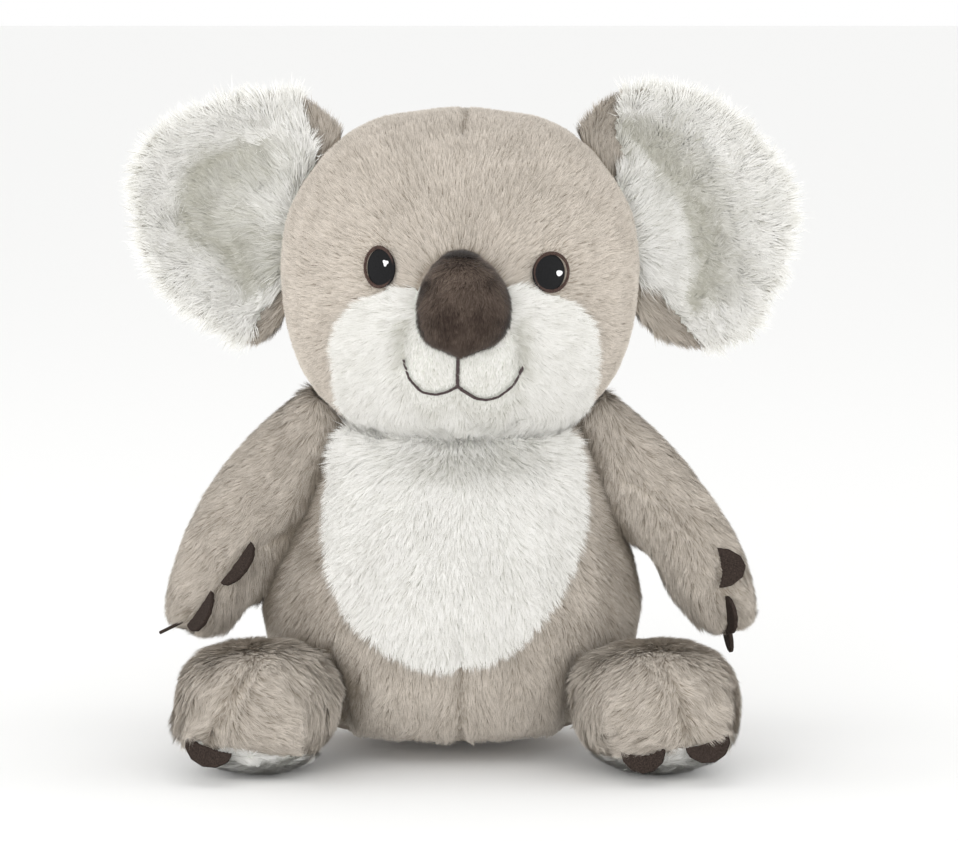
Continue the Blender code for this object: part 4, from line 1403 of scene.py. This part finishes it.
def fringe(points, boxes):
    """1 right above a claw, where the pile falls over its root, and 0 away from it."""
    most = np.zeros(len(points))
    for low, high in boxes:
        top = np.array(((low.x + high.x) / 2, low.y, low.z + (high.z - low.z) * FRINGE_HEIGHT))
        near = 1 - eased(np.linalg.norm(points - top, axis=1), FRINGE_NEAR, FRINGE_FAR)
        most = np.maximum(most, near * (points[:, 2] > top[2] - 1 * MM))
    return most


def limb_trim(seam, boxes, overhung=()):
    """Shorter along the seam and over the claws, and longer above the overhung ones."""

    def trim(points):
        parted = np.where(points[:, 1] < 0, 0.6 + 0.4 * eased(off_path(points, seam), 0, 3 * MM), 1)
        over = fringe(points, overhung)
        under = (0.35 + 0.65 * eased(claw_distance(points, boxes), 0, 3 * MM)) * (1 - over) + over
        return parted * under * (1 + 0.4 * over)

    return trim


# How much an arm swells on its outer edge and at the paw, and slims under the paw
ARM_SWELL = {"right": (5.5 * MM, 4.0 * MM, 3.5 * MM), "left": (3.0 * MM, 4.5 * MM, 6.0 * MM)}


def shaped_arm(bm, side_name, side):
    """Fuller on its outer edge, above and at the paw, and slimmer under the paw, as the photograph shows it."""
    upper, paw, under = ARM_SWELL[side_name]
    bm.normal_update()
    points = coordinates(bm.verts)
    normals = np.array([vertex.normal for vertex in bm.verts])
    out = eased(normals @ np.array((0.85 * side, 0, 0.5)), 0.1, 0.9)
    beneath = eased(normals @ np.array((-0.6 * side, 0, -0.8)), 0.1, 0.9) * (1 - eased(points[:, 2], 0.07, 0.1))
    outer = paw + (upper - paw) * eased(points[:, 2], 0.075, 0.105)
    return smoothed(swollen(bm, out * outer - under * beneath), 2)


SOLE_HEIGHT = 13.0 * MM
SOLE_MIDDLE = (76 * MM, -70 * MM)
SOLE_ROLL = math.radians(10)
SOLE_OVERHANG = {"right": 88 * MM, "left": 40 * MM}

# How much a foot swells on its outer and its inner side
FOOT_SWELL = {"right": (2.6 * MM, -3.2 * MM), "left": (0.8 * MM, 0.4 * MM)}

# The gap that an arm keeps, and how far it is drawn to close to it
ARM_TO_HEAD = (2.2 * MM, 10 * MM)
ARM_TO_BODY = (1.0 * MM, 4.5 * MM)
SHOULDER_LOW = 0.112
ELBOW_LOW = 0.06

for number, (side_name, side) in enumerate(SIDES.items()):
    seam = ARM_SEAMS[side_name]
    replaced = (f"arm_skin_{side_name}", f"arm_filling_{side_name}")
    arm_bm = stuffed(replaced, LIMB_QUAD, LIMB_SINK, (CAD_BODY, CAD_HEAD), ARM_REACH)
    shaped_arm(arm_bm, side_name, side)
    drawn_to(arm_bm, head_tree, *ARM_TO_HEAD, lambda at: at.z > SHOULDER_LOW)
    drawn_to(arm_bm, body_tree, *ARM_TO_BODY, lambda at: at.z > ELBOW_LOW)
    pressed(arm_bm, seam, 1.8 * MM, 1.6 * MM)
    arm = finished(f"arm_cover_{side_name}", arm_bm, f"arm_{side_name}", GREIGE_COVER, replaced)
    claws = [f"paw_claw_{side_name}_{k}" for k in (1, 2, 3)]
    boxes = [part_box(name) for name in claws]
    pile(
        f"arm_pile_{side_name}",
        Skin(arm.data),
        LIMB_COAT,
        arm_comb(side),
        clear_of(body_tree, 1.2 * MM),
        limb_trim(seam, boxes),
        limb_shade(0.7, seam, 0.8),
        f"arm_{side_name}",
        GREIGE_PILE,
        41 + number,
        glow=LIMB_GLOW,
    )
    for name in claws:
        claw(name, f"arm_{side_name}")

    seam = FOOT_SEAMS[side_name]
    parts = [f"{part}_{side_name}" for part in ("leg_skin", "sole_panel", "leg_filling")]
    leg_bm = stuffed(parts, LIMB_QUAD, LIMB_SINK, (CAD_BODY,))
    facing = np.array([vertex.normal.x * side for vertex in leg_bm.verts])
    outer, inner = FOOT_SWELL[side_name]
    smoothed(swollen(leg_bm, outer * eased(facing, 0.1, 0.9) + inner * eased(-facing, 0.1, 0.9)), 1)
    gather = [Vector(place) for place in seam[:2]]
    for aside in (-6 * MM, 6 * MM):
        mound = [(place.x + aside, place.y + abs(aside) / 3) for place in gather]
        pressed(leg_bm, mound, -2.4 * MM, 3.6 * MM)
    pressed(leg_bm, seam, 2.6 * MM, 2.0 * MM)
    leg = finished(
        f"leg_cover_{side_name}", leg_bm, f"leg_{side_name}", GREIGE_COVER, (parts[0], parts[2])
    )

    def in_sole(points, normals, side=side, overhang=SOLE_OVERHANG[side_name]):
        flat = signed(side, points)
        below = flat[:, 2] - SOLE_HEIGHT - (flat[:, 0] - SOLE_MIDDLE[0]) * math.tan(SOLE_ROLL) < 0
        outer = flat[:, 2] - 2 * MM < (flat[:, 0] - overhang) * 0.87
        return below & (outer | (normals[:, 2] < -0.6) | (points[:, 1] > -60 * MM))

    panel(f"sole_cover_{side_name}", leg, in_sole, f"leg_{side_name}", (parts[1],))
    claws = [f"foot_claw_{side_name}_{k}" for k in (1, 2, 3)]
    boxes = [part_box(name) for name in claws]
    clear = clear_of(body_tree, 1.2 * MM)
    skin = Skin(leg.data)
    pile(
        f"leg_pile_{side_name}",
        skin,
        LIMB_COAT,
        leg_comb(side),
        lambda points, normals: ~in_sole(points, normals) & clear(points, normals),
        limb_trim(seam, boxes, boxes),
        limb_shade(0.72, seam, 0.35),
        f"leg_{side_name}",
        GREIGE_PILE,
        51 + number,
        rise=lambda points, boxes=boxes: 1 + 1.4 * fringe(points, boxes),
        glow=LIMB_GLOW,
    )
    pile(
        f"sole_pile_{side_name}",
        skin,
        SOLE_COAT,
        away_from((side * SOLE_MIDDLE[0], SOLE_MIDDLE[1], 30 * MM)),
        lambda points, normals: in_sole(points, normals) & clear(points, normals),
        even,
        lambda points: 0.96 + 0.02 * ripple(points, 18 * MM, 13),
        f"leg_{side_name}",
        WHITE_PILE,
        61 + number,
        lift=PANEL_LIFT + PANEL_THICK,
        glow=SOLE_GLOW,
    )
    for name in claws:
        claw(name, f"leg_{side_name}")


# Ears


def ear_place():
    """The ear's own frame: local X out from the head, Y forward and Z up."""
    low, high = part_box("ear_back_left")
    half_x = math.hypot(EAR_WIDTH / 2 * math.cos(EAR_TILT), EAR_HEIGHT / 2 * math.sin(EAR_TILT))
    middle = Vector((high.x - half_x, EAR_Y, (low.z + high.z) / 2))
    return middle, Matrix.Rotation(-EAR_TILT, 4, "Y")


def ear_outline(side_name, side, middle, tilt):
    """How far the ear's cover reaches from its middle at each angle: the measured outline less the pile."""
    turn = tilt.to_3x3().inverted()
    known = {}
    for x, z in EAR_OUTLINES[side_name]:
        local = turn @ (Vector((x * side, middle.y, z)) - middle)
        known[math.atan2(local.z, local.x)] = math.hypot(local.x, local.z) - EAR_RIM_PILE
    angles = np.array(sorted(known))
    reaches = np.array([known[angle] for angle in angles])
    fine = np.linspace(-math.pi, math.pi, 361)
    oval = (EAR_WIDTH / 2 - EAR_RIM_PILE) * (EAR_HEIGHT / 2 - EAR_RIM_PILE) / np.hypot(
        (EAR_HEIGHT / 2 - EAR_RIM_PILE) * np.cos(fine), (EAR_WIDTH / 2 - EAR_RIM_PILE) * np.sin(fine)
    )
    seen = (fine >= angles[0]) & (fine <= angles[-1])
    reach = np.where(seen, np.interp(fine, angles, reaches), oval)
    kernel = np.hanning(17) / np.hanning(17).sum()
    reach = np.convolve(np.concatenate([reach[-9:-1], reach, reach[1:9]]), kernel, "valid")
    return lambda angle: np.interp(angle, fine, reach)


def ear_shape(side_name, side):
    """A cupped oval with a soft rim, cut to the head."""
    middle, tilt = ear_place()
    bm = bmesh.new()
    bmesh.ops.create_uvsphere(bm, u_segments=120, v_segments=76, radius=1)
    outline = ear_outline(side_name, side, middle, tilt)
    for vertex in bm.verts:
        u, v, facing = vertex.co
        r = min(math.hypot(u, v), 1)
        dome = (1 - r**2) ** (EAR_ROUNDNESS / 2)
        front = EAR_FRONT * dome * (EAR_CUP_SHARE + EAR_RIM_SHARE * r**2)
        back = -EAR_BACK * dome
        depth = EAR_DISH * r**2 + (front if facing > 0 else back)
        reach = outline(math.atan2(v, u))
        vertex.co = middle + tilt @ Vector((u * reach, -depth, v * reach))
    bmesh.ops.remove_doubles(bm, verts=bm.verts, dist=WELD)
    if side < 0:
        bmesh.ops.scale(bm, vec=(-1, 1, 1), verts=bm.verts)
    bmesh.ops.recalc_face_normals(bm, faces=bm.faces)
    pressed(bm, EAR_FOLDS[side_name], EAR_FOLD_DEPTH, 9 * MM)
    return without(bm, ear_cutter)


cutter = bmesh.new()
cutter.from_mesh(head_cover.data)
swollen(cutter, np.full(len(cutter.verts), EAR_ROOT_LIFT))
cutter_mesh = bpy.data.meshes.new("ear_cutter")
cutter.to_mesh(cutter_mesh)
cutter.free()
ear_cutter = linked("ear_cutter", cutter_mesh)


def ear_facing(side_name, side):
    """Whether a part of the ear is its white front. The greige back curls round the edge near the head."""
    middle, tilt = ear_place()
    turn = np.array(tilt.to_3x3().inverted())

    def facing(points, normals):
        local = (signed(side, points) - np.array(middle)) @ turn.T
        turned = signed(side, normals) @ turn.T
        rim = np.hypot(local[:, 0] / (EAR_WIDTH / 2), local[:, 2] / (EAR_HEIGHT / 2)) > 0.97
        curled = np.any([within(points, outline) for outline in EAR_CURLS[side_name]], axis=0)
        return (turned[:, 1] < np.where(rim, 0.1, -0.05)) & ~curled

    return facing


def ear_comb(side, over):
    """Out from the ear's root, and over the rim by this much."""
    root = np.array((side * 62 * MM, -6 * MM, EAR_ROOT_Z))

    def comb(points, normals):
        ways = unit(points - root)
        rim = np.clip((ways * normals).sum(axis=1), 0, 1)
        ways[:, 1] += over * rim
        return ways

    return comb


def ear_shade(side_name):
    """Painted shade, dark in the fold and half dark in the hollow beside it, and light at the rim."""
    fold, hollow = EAR_FOLDS[side_name], EAR_HOLLOWS[side_name]

    def shade(points):
        reach = np.where(within(points, hollow), EAR_SHADE_REACH[side_name], 10 * MM)
        return 0.14 + 0.74 * eased(off_path(points, fold) / reach, 0, 1) + 0.05 * ripple(points, 14 * MM, 15)

    return shade


for number, (side_name, side) in enumerate(SIDES.items()):
    bm = ear_shape(side_name, side)
    parts = [f"ear_{part}_{side_name}" for part in ("back", "wadding", "front")]
    ear = finished(f"ear_cover_{side_name}", bm, f"ear_{side_name}", GREIGE_COVER, parts[:2])
    facing = ear_facing(side_name, side)
    clear = clear_of(head_tree, 1.8 * MM)
    panel(
        f"ear_front_cover_{side_name}",
        ear,
        lambda points, normals: facing(points, normals) & clear(points, normals),
        f"ear_{side_name}",
        (parts[2],),
    )
    skin = Skin(ear.data)
    fold = EAR_FOLDS[side_name]
    pile(
        f"ear_front_pile_{side_name}",
        skin,
        EAR_COAT,
        ear_comb(side, 2.2),
        lambda points, normals: facing(points, normals) & clear(points, normals),
        lambda points: 0.6 + 0.4 * eased(off_path(points, fold), 0, 12 * MM),
        ear_shade(side_name),
        f"ear_{side_name}",
        WHITE_PILE,
        71 + number,
        lift=PANEL_LIFT + PANEL_THICK,
        glow=EAR_GLOW,
    )
    pile(
        f"ear_back_pile_{side_name}",
        skin,
        EAR_BACK_COAT,
        ear_comb(side, -0.6),
        lambda points, normals: ~facing(points, normals) & clear(points, normals),
        even,
        lambda points: 0.62 + 0.08 * ripple(points, 20 * MM, 16),
        f"ear_{side_name}",
        GREIGE_PILE,
        81 + number,
    )
bpy.data.objects.remove(ear_cutter)


# Room, lights and camera


def stage_floor():
    bm = bmesh.new()
    bmesh.ops.create_grid(bm, x_segments=1, y_segments=1, size=12)
    mesh = bpy.data.meshes.new("studio_floor")
    bm.to_mesh(mesh)
    bm.free()
    mesh.materials.append(blank_paint("white_floor", Base_Color=linear("#F6F6F5"), Roughness=0.9)[0])
    linked("studio_floor", mesh)


def soft_light(name, place, aim, size, power):
    lamp = bpy.data.lights.new(name, "AREA")
    lamp.shape = "DISK"
    lamp.size = size
    lamp.energy = power
    item = bpy.data.objects.new(name, lamp)
    bpy.context.scene.collection.objects.link(item)
    item.location = place
    item.rotation_euler = (Vector(aim) - Vector(place)).to_track_quat("-Z", "Y").to_euler()


bpy.context.scene.view_settings.view_transform = "Standard"
stage_floor()
soft_light("key_light", (-1.1, -2.4, 0.6), (0, 0, 0.12), 1.4, 16.5)
soft_light("fill_light", (1.2, -2.4, 0.3), (0, 0, 0.1), 1.4, 10)
soft_light("side_light_right", (-1.7, -0.1, 0.4), (0, 0, 0.1), 1.2, 7)
soft_light("side_light_left", (1.7, -0.1, 0.4), (0, 0, 0.1), 1.2, 6)
soft_light("low_light", (0, -2.2, 0.12), (0, 0, 0.06), 0.8, 9)

world = bpy.data.worlds.new("white_studio")
world.use_nodes = True
world.node_tree.nodes["Background"].inputs["Color"].default_value = (1, 1, 1, 1)
world.node_tree.nodes["Background"].inputs["Strength"].default_value = 1.0
bpy.context.scene.world = world

camera = bpy.data.objects.new("front_camera", bpy.data.cameras.new("front_camera"))
bpy.context.scene.collection.objects.link(camera)
camera.location = (0, -1.9806, 0.3369)
camera.rotation_euler = (math.radians(84), 0, 0)
camera.data.sensor_width = 36
camera.data.lens = 185.6
camera.data.shift_x = 0.0198
camera.data.shift_y = 0.0047
bpy.context.scene.camera = camera
